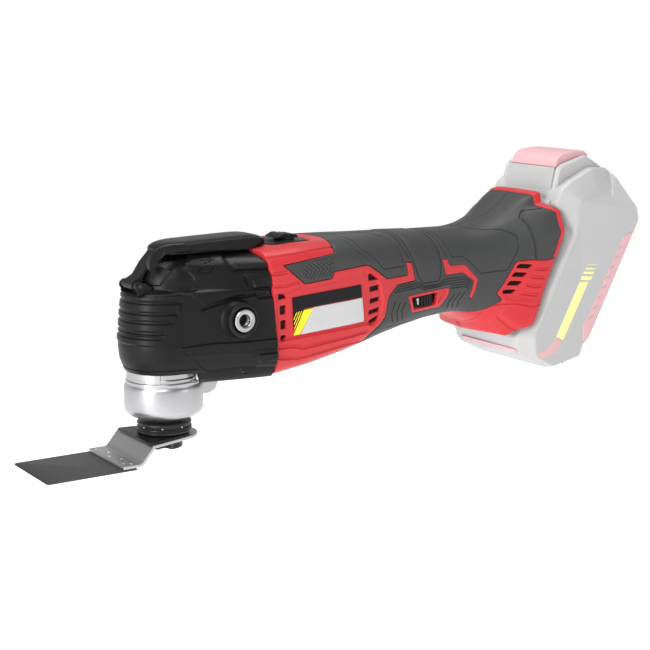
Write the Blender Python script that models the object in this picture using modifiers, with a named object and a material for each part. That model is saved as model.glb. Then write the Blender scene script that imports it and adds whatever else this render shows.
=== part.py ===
"""Cordless oscillating multi tool with a plunge-cut blade and a slide-on battery pack.

Design units are millimetres. +X runs to the rear, +Y to the tool's right-hand side and +Z up along
the spindle. The design datum is the seat of the blade bracket on the spindle axis; the world origin
is the lower face of the clamp bolt, CLAMP_FACE_DROP below it.
"""
import math

import bmesh
import bpy
from mathutils import Matrix, Vector

MM = 0.001
GAP = 0.3                      # clearance between touching pieces
CLAMP_FACE_DROP = 5.5          # the clamp bolt's face below the bracket seat

# body skin: top x, z; bottom x, z; half width; squareness; rearward bulge of the sides
BODY = [
    (47.6, 98.6, 52.4, 30.0, 32.5, 5.0, 0.0),
    (70.0, 100.3, 74.5, 33.2, 33.0, 5.0, 0.0),
    (96.0, 100.2, 100.0, 38.0, 32.5, 4.5, 0.0),
    (110.0, 100.1, 114.0, 41.0, 31.5, 4.0, 0.0),
    (122.0, 99.9, 126.0, 43.2, 30.3, 3.4, 0.0),
    (138.5, 99.8, 141.5, 45.7, 28.5, 3.0, 0.0),
    (158.5, 99.2, 161.3, 48.4, 26.8, 2.6, 0.0),
    (177.5, 99.0, 178.0, 49.6, 26.2, 2.5, 0.0),
    (187.0, 99.8, 184.0, 48.5, 27.5, 2.7, 0.0),
    (194.0, 107.0, 189.5, 45.0, 31.0, 3.2, 0.0),
    (200.0, 114.6, 195.0, 41.5, 34.5, 4.0, 0.0),
    (212.0, 116.2, 200.0, 38.8, 36.5, 4.3, 2.0),
    (240.5, 117.5, 206.3, 37.7, 37.5, 4.5, 11.0),
]
GRIP_FROM = 4                  # the first body section under the grip
GRIP_END_ANGLES = [-90, -90, -90, -90, -75, -50, -25, -10, -5]
WALL = 2.4
GRIP_WALL = 1.0
GRIP_SINK = 1.6                # how far the housing steps down under the grip
SKIN_STEPS = 12                # facets from the top of a half shell to its bottom

# head cover rows: z; half width at the front arc, the middle and the rear; front x
HEAD_ROWS = [
    (36.9, 20.2, 25.0, 29.5, -20.2),
    (39.0, 21.2, 27.0, 32.0, -21.2),
    (44.0, 22.9, 29.5, 33.2, -22.9),
    (51.0, 23.5, 30.3, 33.2, -23.5),
    (60.0, 22.6, 30.0, 32.8, -22.6),
    (70.0, 21.7, 29.3, 32.3, -21.7),
    (79.0, 20.5, 28.0, 31.3, -20.5),
    (80.6, 19.0, 27.2, 30.8, -12.5),
    (86.0, 18.6, 25.0, 27.0, -12.0),
    (92.0, 16.5, 21.5, 17.0, -9.5),
    (95.6, 11.0, 15.0, 8.0, -5.0),
    (97.6, 0.0, 0.0, 0.0, -2.0),
]
# how far the lining lies inside each row, and above or below it
HEAD_INSETS = [0.7, 1.8, 2.0, 2.0, 2.0, 2.0, 2.0, 2.0, 2.0, 2.0, 2.0, 0.0]
HEAD_RISES = [0.0, 0.0, 0.0, 0.0, 0.0, 0.0, -1.6, -2.0, 0.0, 0.0, -1.0, -2.0]
HEAD_REAR_X = 47.2             # rear edge at the spindle-axis height of the body seam
SEAM_LEAN = 0.07               # the seam moves rearward by this much per millimetre down
SEAM_MID_Z = 64.3

MOTOR_TILT = math.radians(4.0)
MOTOR_AXIS_Z = 60.8            # height of the motor axis over the spindle axis
CAN_RADIUS = 21.5
ECCENTRIC_THROW = 0.8
PACK_TILT = math.radians(28.5)
PACK_DATUM = (0.0, 0.0, -9.0)
PACK_HALF_WIDTH = 38.0

NECK_RADIUS, CUP_RADIUS = 18.9, 21.0
COLLAR_RADIUS = 14.5
BRACKET_HALF_WIDTH = 21.6
INSERT_X, INSERT_Z = 29.5, 65.0
INSERT_FACE_Y = 36.5
LEVER_PIVOT = (-17.0, 0.0, 83.4)
PIN_HOLE = 1.9
LIGHT_Y, LIGHT_Z = -14.4, 34.5
LIP_SCREW_X, LIP_SCREW_Z = 36.0, 34.6
DIAL_X, DIAL_Y = 151.5, -15.4
HOUSING_SCREWS = [(80.0, 40.0), (104.0, 94.0), (130.0, 56.0), (176.0, 61.5), (205.0, 102.0)]

for stale in list(bpy.data.objects):
    bpy.data.objects.remove(stale)


def new_collection(name):
    group = bpy.data.collections.new(name)
    bpy.context.scene.collection.children.link(group)
    return group


PARTS = new_collection("oscillating_multi_tool")
CUTTERS = new_collection("cutters")


def material(name, colour, roughness, metallic=0.0):
    made = bpy.data.materials.new(name)
    made.use_nodes = True
    shader = made.node_tree.nodes["Principled BSDF"]
    shader.inputs["Base Color"].default_value = (*colour, 1.0)
    shader.inputs["Roughness"].default_value = roughness
    shader.inputs["Metallic"].default_value = metallic
    return made


RED = material("red_plastic", (0.62, 0.04, 0.05), 0.4)
BLACK = material("black_plastic", (0.02, 0.02, 0.022), 0.45)
RUBBER = material("grip_rubber", (0.045, 0.048, 0.048), 0.7)
CAST = material("cast_aluminium", (0.72, 0.72, 0.73), 0.35, 1.0)
STEEL = material("steel", (0.55, 0.55, 0.56), 0.3, 1.0)
DARK_STEEL = material("dark_steel", (0.08, 0.08, 0.085), 0.45, 1.0)
COPPER = material("copper", (0.70, 0.33, 0.16), 0.35, 1.0)
BOARD = material("circuit_board", (0.02, 0.16, 0.07), 0.5)
CLEAR = material("clear_lens", (0.85, 0.88, 0.90), 0.1)
LABEL = material("label_foil", (0.60, 0.60, 0.60), 0.4)
PACK_GREY = material("pack_grey", (0.56, 0.56, 0.56), 0.5)
PACK_PINK = material("pack_pink", (0.90, 0.55, 0.57), 0.5)
CELL_WRAP = material("cell_wrap", (0.10, 0.22, 0.45), 0.4)


def empty(name, location, tilt=0.0, parent=None):
    """A frame at location, turned about +Y by tilt, in its parent's coordinates."""
    frame = bpy.data.objects.new(name, None)
    PARTS.objects.link(frame)
    frame.parent = parent
    frame.location = Vector(location) * MM
    frame.rotation_euler = (0.0, tilt, 0.0)
    return frame


TOOL = empty("tool_datum", (0.0, 0.0, CLAMP_FACE_DROP))
MOTOR = empty("motor_axis", (0.0, 0.0, MOTOR_AXIS_Z), -MOTOR_TILT, TOOL)
PACK = empty("pack_frame", PACK_DATUM, PACK_TILT, TOOL)
LEVER = empty("lever_axis", LEVER_PIVOT, 0.0, TOOL)


def smooth(mesh, angle=32.0):
    mesh.shade_smooth()
    mesh.set_sharp_from_angle(angle=math.radians(angle))


def add(name, mesh, finish, frame=TOOL, location=(0, 0, 0)):
    """An object made of mesh, in its frame; a finish of None makes it a cutter."""
    piece = bpy.data.objects.new(name, mesh)
    (CUTTERS if finish is None else PARTS).objects.link(piece)
    piece.parent = frame
    piece.location = Vector(location) * MM
    if finish is None:
        as_cutter(piece)
    else:
        mesh.materials.append(finish)
    return piece


def as_cutter(piece):
    if piece.name in PARTS.objects:
        PARTS.objects.unlink(piece)
        CUTTERS.objects.link(piece)
    piece.hide_render = True
    piece.display_type = "WIRE"


def combine(piece, other, operation):
    as_cutter(other)
    step = piece.modifiers.new(operation.lower(), "BOOLEAN")
    step.operation = operation
    step.object = other
    step.solver = "EXACT"
    return piece


def cut(piece, *others):
    for other in others:
        combine(piece, other, "DIFFERENCE")
    return piece


def join(piece, *others):
    for other in others:
        combine(piece, other, "UNION")
    return piece


def round_edges(piece, width, segments=1, angle=40.0):
    bevel = piece.modifiers.new("edges", "BEVEL")
    bevel.width = width * MM
    bevel.segments = segments
    bevel.limit_method = "ANGLE"
    bevel.angle_limit = math.radians(angle)
    return piece


def mesh_of(name, shape, shaded=True):
    """The finished mesh of a bmesh drawn in millimetres."""
    bmesh.ops.scale(shape, vec=(MM, MM, MM), verts=shape.verts)
    mesh = bpy.data.meshes.new(name)
    shape.to_mesh(mesh)
    shape.free()
    if shaded:
        smooth(mesh)
    return mesh


def box(name, low, high, finish, frame=TOOL):
    """A box between two corners, in its frame."""
    low, high = Vector(low), Vector(high)
    shape = bmesh.new()
    bmesh.ops.create_cube(shape, size=1.0)
    bmesh.ops.scale(shape, vec=high - low, verts=shape.verts)
    bmesh.ops.translate(shape, vec=(low + high) / 2, verts=shape.verts)
    return add(name, mesh_of(name, shape, False), finish, frame)


def rod(name, radius, start, end, finish, frame=TOOL, facets=20):
    """A cylinder from start to end, in its frame."""
    start, end = Vector(start), Vector(end)
    run = end - start
    turn = Vector((0, 0, 1)).rotation_difference(run).to_matrix().to_4x4()
    shape = bmesh.new()
    bmesh.ops.create_cone(
        shape, cap_ends=True, segments=facets, depth=run.length, radius1=radius,
        radius2=radius,
        matrix=Matrix.Translation((start + end) / 2) @ turn,
    )
    return add(name, mesh_of(name, shape), finish, frame)


def turned(name, profile, finish, frame=TOOL, facets=24, location=(0, 0, 0), axis="Z"):
    """A profile of (radius, height) points turned about an axis.

    The points go down the outer side and back up the inner side, as a closed loop. A profile
    that starts and ends on the axis is left open there.
    """
    shape = bmesh.new()
    points = [shape.verts.new((radius, 0.0, height)) for radius, height in profile]
    pairs = list(zip(points, points[1:]))
    if profile[0][0] > 0.0:
        pairs.append((points[-1], points[0]))
    for pair in pairs:
        shape.edges.new(pair)
    piece = add(name, mesh_of(name, shape, False), finish, frame, location)
    if axis == "X":
        piece.rotation_euler = (0.0, math.radians(90.0), 0.0)
    screw = piece.modifiers.new("turn", "SCREW")
    screw.steps = facets
    screw.render_steps = facets
    screw.use_merge_vertices = True
    screw.merge_threshold = 0.00001
    screw.use_smooth_shade = True
    return piece


def ring(name, outer, inner, low, high, finish, frame=TOOL, facets=24, **placing):
    """A plain tube: a washer, bush or bearing."""
    profile = [(outer, high), (outer, low), (inner, low), (inner, high)]
    return turned(name, profile, finish, frame, facets, **placing)


def plate(name, outline, low, high, finish, frame=TOOL, plane="XZ"):
    """A flat outline given as 2D points, with its thickness from low to high.

    plane XZ stands upright with its thickness along Y; plane XY lies flat; plane YZ faces X.
    """
    curve = bpy.data.curves.new(name, "CURVE")
    curve.dimensions = "2D"
    curve.fill_mode = "BOTH"
    curve.extrude = (high - low) / 2 * MM
    line = curve.splines.new("POLY")
    line.points.add(len(outline) - 1)
    for point, (u, v) in zip(line.points, outline):
        point.co = (u * MM, v * MM, 0.0, 1.0)
    line.use_cyclic_u = True
    source = bpy.data.objects.new(name + "_outline", curve)
    CUTTERS.objects.link(source)
    graph = bpy.context.evaluated_depsgraph_get()
    mesh = bpy.data.meshes.new_from_object(source.evaluated_get(graph))
    bpy.data.objects.remove(source)
    turn = {
        "XZ": Matrix.Rotation(math.radians(90.0), 4, "X"),
        "XY": Matrix.Identity(4),
        "YZ": Matrix(((0, 0, 1, 0), (1, 0, 0, 0), (0, 1, 0, 0), (0, 0, 0, 1))),
    }[plane]
    middle = (low + high) / 2 * MM * (-1 if plane == "XZ" else 1)
    shape = bmesh.new()
    shape.from_mesh(mesh)
    bpy.data.meshes.remove(mesh)
    bmesh.ops.remove_doubles(shape, verts=shape.verts, dist=0.000001)
    bmesh.ops.transform(shape, matrix=turn @ Matrix.Translation((0, 0, middle)), verts=shape.verts)
    bmesh.ops.recalc_face_normals(shape, faces=shape.faces)
    made = bpy.data.meshes.new(name)
    shape.to_mesh(made)
    shape.free()
    return add(name, made, finish, frame)


def circle(centre, radius, count, start=0.0, sweep=360.0):
    """Points on an arc in a plane."""
    full = abs(sweep) >= 360.0
    steps = count if full else count - 1
    angles = [math.radians(start + sweep * i / steps) for i in range(count)]
    return [(centre[0] + radius * math.cos(a), centre[1] + radius * math.sin(a)) for a in angles]


def loft(name, outer, inner, finish, ridge=False):
    """A thick shell between two grids of points: rows of outer skin and rows of inner skin.

    With a ridge, the last row is folded onto itself and closes the shell.
    """
    shape = bmesh.new()
    rows, columns = len(outer), len(outer[0])
    skin = [[shape.verts.new(p) for p in row] for row in outer]
    lining = [[shape.verts.new(p) for p in row] for row in inner]
    for i in range(rows - 1):
        for j in range(columns - 1):
            shape.faces.new((skin[i][j], skin[i + 1][j], skin[i + 1][j + 1], skin[i][j + 1]))
            shape.faces.new((lining[i][j], lining[i][j + 1], lining[i + 1][j + 1], lining[i + 1][j]))
    for i in range(rows - 1):
        for j in (0, columns - 1):
            shape.faces.new((skin[i][j], skin[i + 1][j], lining[i + 1][j], lining[i][j]))
    for j in range(columns - 1):
        for i in ((0,) if ridge else (0, rows - 1)):
            shape.faces.new((skin[i][j], skin[i][j + 1], lining[i][j + 1], lining[i][j]))
    bmesh.ops.remove_doubles(shape, verts=shape.verts, dist=0.001)
    bmesh.ops.recalc_face_normals(shape, faces=shape.faces)
    return add(name, mesh_of(name, shape), finish)


# ---------------------------------------------------------------- housing and grip

def skin_point(section, angle, inset):
    """A point of a body section; angle 90 is its top and 0 its +Y side."""
    top_x, top_z, low_x, low_z, half_width, squareness, bulge = section
    top, low = Vector((top_x, 0, top_z)), Vector((low_x, 0, low_z))
    up = (top - low).normalized()
    back = Vector((up.z, 0, -up.x))
    height = (top - low).length / 2 - inset
    width = half_width - inset
    c, s = math.cos(math.radians(angle)), math.sin(math.radians(angle))
    power = 2.0 / squareness
    across = abs(c) ** power if abs(c) > 1e-9 else 0.0
    rise = math.copysign(abs(s) ** power, s)
    centre = (top + low) / 2 + up * rise * height + back * bulge * across ** 4
    return centre + Vector((0, across * width, 0))


def half_rows(sections, inset, side, end_angles=None):
    """Rows of skin points from the top down one side, a hair off the middle plane."""
    rows = []
    for i, section in enumerate(sections):
        low = -90.0 if end_angles is None else end_angles[i]
        angles = [90.0 + (low - 90.0) * j / SKIN_STEPS for j in range(SKIN_STEPS + 1)]
        row = [skin_point(section, angle, inset[i]) for angle in angles]
        rows.append([Vector((p.x, side * (p.y + GAP / 2), p.z)) for p in row])
    return rows


def between(a, b, t):
    return tuple(x + (y - x) * t for x, y in zip(a, b))


def surface_y(x, z):
    """Half width of the body skin at a place in the side view."""
    for first, second in zip(BODY, BODY[1:]):
        step = between(first, second, (x - first[0]) / (second[0] - first[0]))
        if first[0] <= x <= second[0]:
            middle, height = (step[1] + step[3]) / 2, (step[1] - step[3]) / 2
            off = min(1.0, abs(z - middle) / height)
            return step[4] * (1.0 - off ** step[5]) ** (1.0 / step[5])
    return BODY[0][4]


def make_housing(side):
    """One clamshell half, stepped down under the grip, with its screw posts and vents."""
    name = "housing_right" if side > 0 else "housing_left"
    step_section = between(BODY[3], BODY[4], 0.1)
    sections = BODY[:4] + [step_section] + BODY[4:]
    outset = [0.0] * 4 + [GRIP_SINK] * (len(sections) - 4)
    outer = half_rows(sections, outset, side)
    inner = half_rows(sections, [step + WALL for step in outset], side)
    shell = loft(name, outer, inner, RED)
    for number, (x, z) in enumerate(HOUSING_SCREWS):
        wall_y = surface_y(x, z) - GRIP_SINK - 2.4
        post = rod(f"{name}_post_{number}", 3.7, (x, side * GAP / 2, z), (x, side * wall_y, z),
                   None, facets=12)
        join(shell, post)
    for number, (x, z) in enumerate(HOUSING_SCREWS):
        depth = (20.0, 45.0) if side > 0 else (20.0, 0.0)
        hole = rod(f"{name}_hole_{number}", 1.9, (x, -depth[0], z), (x, depth[1], z),
                   None, facets=12)
        cut(shell, hole)
        if side > 0:
            seat = surface_y(x, z) - 3.4
            cut(shell, rod(f"{name}_seat_{number}", 3.4, (x, seat, z), (x, 45.0, z), None, facets=12))
    cut(shell, *vent_cutters(name, side))
    if side < 0:
        cut(shell, box("dial_window", (140.0, -40.0, 56.5), (163.5, -14.0, 67.5), None))
    slot = box(f"{name}_switch_slot", (66.5, -6.0, 92.0), (92.0, 6.0, 110.0), None)
    cut(shell, slot)


def vent_cutters(name, side):
    """Cooling slots before and behind the label, and in the sides of the foot."""
    slots = []
    for group, (x, width, lowest, pitch, count) in enumerate(
            [(55.5, 3.6, 46.0, 8.5, 4), (107.0, 5.5, 52.0, 7.6, 5)]):
        for number in range(count):
            z = lowest + pitch * number
            slots.append(box(f"{name}_vent_{group}_{number}", (x, min(side * 20, side * 40), z),
                             (x + width, max(side * 20, side * 40), z + 3.4), None))
    for number in range(4):
        x, z = 203.0 + 2.6 * number, 66.0 + 5.2 * number
        slots.append(box(f"{name}_foot_vent_{number}", (x, min(side * 25, side * 45), z),
                         (x + 11.0, max(side * 25, side * 45), z + 2.4), None))
    return slots


def make_grip(side):
    """The soft overmould on one half of the handle and over the top of the foot."""
    name = "grip_right" if side > 0 else "grip_left"
    sections = BODY[GRIP_FROM:]
    outer = half_rows(sections, [0.0] * len(sections), side, GRIP_END_ANGLES)
    inner = half_rows(sections, [GRIP_WALL] * len(sections), side, GRIP_END_ANGLES)
    shell = loft(name, outer, inner, RUBBER)
    if side < 0:
        cut(shell, box("grip_dial_window", (139.0, -40.0, 55.5), (164.5, -20.0, 68.5), None))
    else:
        for number, (x, z) in enumerate(HOUSING_SCREWS[2:]):
            cut(shell, rod(f"{name}_seat_{number}", 3.6, (x, 15.0, z), (x, 45.0, z), None, facets=12))


# ---------------------------------------------------------------- head

def head_row(row, inset, rise=0.0):
    """One level of the head cover: from its rear left edge round the front to the right."""
    z, front, middle, rear, front_x = row
    z = z + rise
    front, middle, rear = (max(0.0, w - inset) for w in (front, middle, rear))
    nose = front_x + inset
    centre = nose + front
    rear_x = HEAD_REAR_X + (SEAM_MID_Z - z) * SEAM_LEAN
    flank = []
    for t in (1.0, 0.8, 0.6, 0.4, 0.2):
        width = front * (1 - t) * (1 - 2 * t) + middle * 4 * t * (1 - t) + rear * t * (2 * t - 1)
        flank.append(Vector((centre + (rear_x - centre) * t, -width, z)))
    arc = circle((centre, 0.0), front, 13, -90.0, -180.0)
    nose_points = [Vector((x, y, z)) for x, y in arc]
    return flank + nose_points + [Vector((p.x, -p.y, p.z)) for p in reversed(flank)]


def make_head_cover():
    """The ribbed front cover over the gear head, open below and behind."""
    outer = [head_row(row, 0.0) for row in HEAD_ROWS]
    inner = [head_row(row, inset, rise) for row, inset, rise in zip(HEAD_ROWS, HEAD_INSETS, HEAD_RISES)]
    cover = loft("head_cover", outer, inner, BLACK, ridge=True)
    for side in (-1, 1):
        boss = rod(f"boss_{side}", 9.3, (INSERT_X, side * 28.2, INSERT_Z),
                   (INSERT_X, side * 35.8, INSERT_Z), None)
        join(cover, boss)
    for side in (-1, 1):
        cut(cover, rod(f"boss_bore_{side}", 8.2, (INSERT_X, side * 18.0, INSERT_Z),
                       (INSERT_X, side * 31.6, INSERT_Z), None),
            rod(f"boss_mouth_{side}", 6.4, (INSERT_X, side * 18.0, INSERT_Z),
                (INSERT_X, side * 45.0, INSERT_Z), None))
    for side in (-1, 1):
        low_x, _, pin_z = LEVER_PIVOT
        ear = box(f"lever_ear_{side}", (low_x - 3.0, min(side * 9.6, side * 12.6), pin_z - 6.0),
                  (low_x + 8.0, max(side * 9.6, side * 12.6), pin_z + 3.0), None)
        join(cover, ear)
    cut(cover, rod("lever_pin_hole", PIN_HOLE, (LEVER_PIVOT[0], -20, LEVER_PIVOT[2]),
                   (LEVER_PIVOT[0], 20, LEVER_PIVOT[2]), None, facets=16))


def make_lower_cover():
    """The cover under the gear head, behind the neck, with the work light and its screw."""
    levels = [(30.4, 27.0, 50.6, 14.0, 20.0), (32.4, 23.5, 51.2, 19.0, 26.0),
              (36.5, 22.5, 51.2, 23.5, 28.5)]
    shape = bmesh.new()
    rings = []
    for z, front_x, rear_x, front, rear in levels:
        outline = [(rear_x, -rear), (front_x, -front), (front_x, front), (rear_x, rear)]
        rings.append([shape.verts.new((x, y, z)) for x, y in outline])
    for low, high in zip(rings, rings[1:]):
        for j in range(4):
            k = (j + 1) % 4
            shape.faces.new((low[j], low[k], high[k], high[j]))
    shape.faces.new(list(reversed(rings[0])))
    shape.faces.new(rings[-1])
    bmesh.ops.recalc_face_normals(shape, faces=shape.faces)
    cover = add("lower_cover", mesh_of("lower_cover", shape), BLACK)
    cut(cover, rod("neck_relief", 22.0, (0, 0, 20), (0, 0, 40), None, facets=48),
        box("lower_cover_hollow", (26.0, -16.0, 33.4), (60.0, 16.0, 40.0), None),
        rod("rib_relief", 3.6, (18.0, 0, 31.0), (40.0, 0, 31.0), None, facets=12),
        rod("lip_screw_bore", 2.0, (LIP_SCREW_X, -30.0, LIP_SCREW_Z), (LIP_SCREW_X, -10.0, LIP_SCREW_Z),
            None, facets=16),
        rod("lip_screw_seat", 3.3, (LIP_SCREW_X, -35.0, LIP_SCREW_Z), (LIP_SCREW_X, -21.5, LIP_SCREW_Z),
            None, facets=16))
    cut(cover, box("light_pocket", (14.0, -18.5, 31.0), (25.5, -10.5, 38.0), None))


# ---------------------------------------------------------------- gear head

def make_gear_case():
    """The cast gear head: neck, bulging cup, motor nose and the arms of the handle inserts."""
    outside = [(0.0, 76.0), (14.4, 76.0), (16.0, 74.2), (NECK_RADIUS, 64.0), (NECK_RADIUS, 34.0),
               (19.4, 33.6), (19.9, 32.0), (20.4, 30.4), (CUP_RADIUS, 28.0), (CUP_RADIUS, 17.0),
               (20.2, 14.4), (18.2, 12.6), (15.8, 12.0), (0.0, 12.0)]
    case = turned("gear_case", outside, CAST)
    nose = rod("gear_nose", 20.0, (6, 0, 0), (44, 0, 0), None, MOTOR)
    arms = [rod(f"insert_arm_{side}", 7.8, (INSERT_X, side * 15, INSERT_Z),
                (INSERT_X, side * 31.2, INSERT_Z), None) for side in (-1, 1)]
    rib = plate("neck_rib", [(16, 20.5), (26, 20.2), (30.5, 22), (32.5, 29), (16, 29)],
                -3.0, 3.0, None)
    join(case, nose, *arms, rib)
    bore = [(0.0, 90.0), (8.0, 90.0), (8.0, 74.7), (12.3, 74.7), (12.3, 68.2), (15.4, 68.2),
            (15.4, 26.0), (12.0, 26.0), (12.0, 22.3), (14.3, 22.3), (14.3, 10.0), (0.0, 10.0)]
    cut(case, turned("spindle_bore", bore, None),
        rod("nose_bore", 17.0, (4, 0, 0), (38.6, 0, 0), None, MOTOR),
        rod("motor_bearing_seat", 11.3, (30, 0, 0), (50, 0, 0), None, MOTOR))
    for side in (-1, 1):
        cut(case, rod(f"insert_seat_{side}", 6.3, (INSERT_X, side * 19.0, INSERT_Z),
                      (INSERT_X, side * 40.0, INSERT_Z), None))


def make_handle_insert(side):
    """A flanged steel bush threaded for the side handle."""
    name = "handle_insert_right" if side > 0 else "handle_insert_left"
    face, low = INSERT_FACE_Y, 20.0
    profile = [(5.6, face), (6.0, face - 0.4), (6.0, low), (3.2, low), (3.2, face - 0.8),
               (3.8, face)]
    piece = turned(name, profile, STEEL, location=(INSERT_X, 0, INSERT_Z))
    piece.rotation_euler = (math.radians(-90.0 * side), 0.0, 0.0)


def make_spindle_set():
    """Hollow spindle, its yoke, tool holder, bracket and blade."""
    turned("spindle", [(6.0, 80.0), (6.0, 26.0), (6.0, 11.3), (8.0, 11.0), (8.0, 10.4), (3.7, 10.4),
                       (3.7, 80.0)], STEEL, facets=24)
    hub = ring("fork", 9.6, 6.3, 55.0, 67.4, STEEL)
    for side in (-1, 1):
        near, far = sorted((side * 9.9, side * 13.6))
        arm = box(f"fork_arm_{side}", (-4.0, near, 56.0), (26.5, far, 67.0), None)
        join(hub, arm)
    yoke = box("fork_web", (-6.0, -13.6, 56.0), (-3.9, 13.6, 67.0), None)
    join(hub, yoke)
    cut(hub, rod("fork_bore", 6.3, (0, 0, 50), (0, 0, 75), None))
    collar = turned("collar", [(7.6, 10.1), (12.6, 10.1), (14.0, 9.4), (COLLAR_RADIUS, 8.4),
                               (COLLAR_RADIUS, 6.4), (13.8, 5.9), (13.8, 5.2), (COLLAR_RADIUS, 4.7),
                               (COLLAR_RADIUS, 3.2), (13.4, 2.1), (3.9, 2.1), (3.9, 10.1)],
                    DARK_STEEL, facets=28)
    for number in range(8):
        angle = math.radians(45.0 * number + 22.5)
        x, y = 14.6 * math.cos(angle), 14.6 * math.sin(angle)
        cut(collar, rod(f"collar_notch_{number}", 2.2, (x, y, 6.9), (x, y, 14.0), None, facets=8))
    make_bracket()
    make_blade()


def make_bracket():
    """The cranked steel bracket between the tool holder and the blade."""
    side_view = [(18.0, 1.8), (18.0, 0.3), (-16.3, 0.3), (-23.6, -8.2), (-34.4, -8.2),
                 (-34.4, -6.7), (-24.4, -6.7), (-17.0, 1.8)]
    half = BRACKET_HALF_WIDTH
    bracket = plate("accessory_bracket", side_view, -half, half, STEEL)
    outline = [(-36, -half), (-17.5, -half), *circle((3.0, 0.0), 14.8, 13, -72.0, 144.0),
               (-17.5, half), (-36, half)]
    keep = plate("bracket_plan", outline, -12.0, 6.0, None, plane="XY")
    combine(bracket, keep, "INTERSECT")
    cut(bracket, rod("bracket_hole", 5.6, (0, 0, -3), (0, 0, 4), None, facets=32))
    for number in range(6):
        angle = math.radians(60.0 * number + 30.0)
        x, y = 8.2 * math.cos(angle), 8.2 * math.sin(angle)
        cut(bracket, rod(f"bracket_hole_{number}", 1.5, (x, y, -3), (x, y, 4), None, facets=8))


def make_blade():
    """The flat saw blade with a row of fine teeth across its tip."""
    tip, root, half, pitch, depth = -76.4, -27.0, 22.0, 2.0, 1.1
    edge = []
    for number in range(22):
        y = -half + pitch * number
        edge += [(tip + depth, y), (tip, y + pitch / 2)]
    outline = [(root, -half), *edge, (tip + depth, half), (root, half)]
    plate("saw_blade", outline, -9.4, -8.5, DARK_STEEL, plane="XY")


def make_clamp_set():
    """The draw rod with its spring, and the flanged clamp bolt."""
    bolt = turned("clamp_bolt", [(0.0, 24.0), (3.1, 24.0), (3.1, 0.0), (9.6, 0.0), (9.6, -1.6),
                                 (8.4, -4.6), (7.6, -5.5), (0.0, -5.5)], DARK_STEEL)
    for number in range(3):
        angle = math.radians(120.0 * number + 20.0)
        x, y = 10.4 * math.cos(angle), 10.4 * math.sin(angle)
        cut(bolt, rod(f"bolt_notch_{number}", 3.0, (x, y, -8), (x, y, -1.5), None, facets=12))
    turned("clamp_rod", [(0.0, 88.6), (5.4, 88.6), (5.4, 86.2), (3.2, 86.2), (3.2, 24.4),
                         (0.0, 24.4)], STEEL, facets=20)
    make_spring("clamp_spring", (0, 0, 80.3), 85.9, 4.5, 0.55, 3.0, TOOL)


def make_spring(name, base, top, radius, wire, turns, frame):
    """A coil spring standing on base, up to the height top."""
    curve = bpy.data.curves.new(name, "CURVE")
    curve.dimensions = "3D"
    curve.bevel_depth = wire * MM
    curve.bevel_resolution = 1
    curve.use_fill_caps = True
    steps = int(turns * 12)
    line = curve.splines.new("POLY")
    line.points.add(steps)
    low, high = base[2] + wire, top - wire
    for i, point in enumerate(line.points):
        angle = 2 * math.pi * turns * i / steps
        height = low + (high - low) * i / steps
        point.co = (*(Vector((base[0] + radius * math.cos(angle), base[1] + radius * math.sin(angle),
                              height)) * MM), 1.0)
    spring = bpy.data.objects.new(name, curve)
    PARTS.objects.link(spring)
    spring.parent = frame
    curve.materials.append(STEEL)


# ---------------------------------------------------------------- motor

def along(name, outer, inner, start, end, finish, facets=24):
    """A tube on the motor axis."""
    return ring(name, outer, inner, start, end, finish, MOTOR, facets, axis="X")


def make_motor():
    """Can, end cap, bearings and brushes."""
    turned("motor_can", [(CAN_RADIUS, 112.0), (CAN_RADIUS, 56.0), (8.5, 56.0), (8.5, 57.6),
                         (19.8, 57.6), (19.8, 112.0)], STEEL, MOTOR, axis="X")
    cap = turned("motor_end_cap", [(CAN_RADIUS, 116.4), (CAN_RADIUS, 112.3), (11.3, 112.3),
                                   (11.3, 116.4)], BLACK, MOTOR, axis="X")
    for side in (-1, 1):
        near, far = sorted((side * 13.2, side * 18.6))
        block = box(f"brush_holder_{side}", (102.0, near, -3.2), (112.6, far, 3.2), None, MOTOR)
        join(cap, block)
        near, far = sorted((side * 12.0, side * 20.0))
        cut(cap, box(f"brush_slot_{side}", (103.4, near, -2.0), (108.9, far, 2.0), None, MOTOR))
        low, high = sorted((side * 6.8, side * 16.0))
        box("brush_right" if side > 0 else "brush_left", (103.8, low, -1.6), (108.5, high, 1.6),
            DARK_STEEL, MOTOR)
    along("motor_bearing_front", 11.0, 2.8, 39.0, 44.6, STEEL)
    along("motor_bearing_rear", 11.0, 2.8, 112.5, 117.4, STEEL)


def make_rotor():
    """Shaft, armature, commutator, fan and the eccentric that swings the fork."""
    rod("rotor_shaft", 2.5, (16.5, 0, 0), (119.5, 0, 0), STEEL, MOTOR, facets=16)
    along("armature", 17.8, 2.8, 62.0, 98.0, DARK_STEEL)
    along("commutator", 6.5, 2.8, 101.0, 111.5, COPPER, 24)
    fan = along("fan", 5.0, 2.8, 46.2, 53.6, BLACK, 20)
    join(fan, rod("fan_disc", 18.6, (52.2, 0, 0), (53.6, 0, 0), None, MOTOR))
    for number in range(9):
        blade = box(f"fan_blade_{number}", (46.6, -0.6, 4.4), (52.6, 0.6, 18.0), None, MOTOR)
        blade.rotation_euler = (math.radians(40.0 * number), 0.0, 0.0)
        join(fan, blade)
    cut(fan, rod("fan_bore", 2.8, (44, 0, 0), (56, 0, 0), None, MOTOR, facets=20))
    weight = rod("eccentric", 4.6, (16.8, ECCENTRIC_THROW, 0), (25.6, ECCENTRIC_THROW, 0), DARK_STEEL,
                 MOTOR, facets=24)
    join(weight, rod("eccentric_weight", 7.0, (25.5, -1.8, 0), (30.5, -1.8, 0), None, MOTOR))
    cut(weight, rod("eccentric_bore", 2.8, (10, 0, 0), (40, 0, 0), None, MOTOR, facets=16))
    ring("eccentric_bearing", 8.0, 4.9, 17.2, 24.2, STEEL, MOTOR, 28, axis="X",
         location=(0, ECCENTRIC_THROW, 0))


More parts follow.
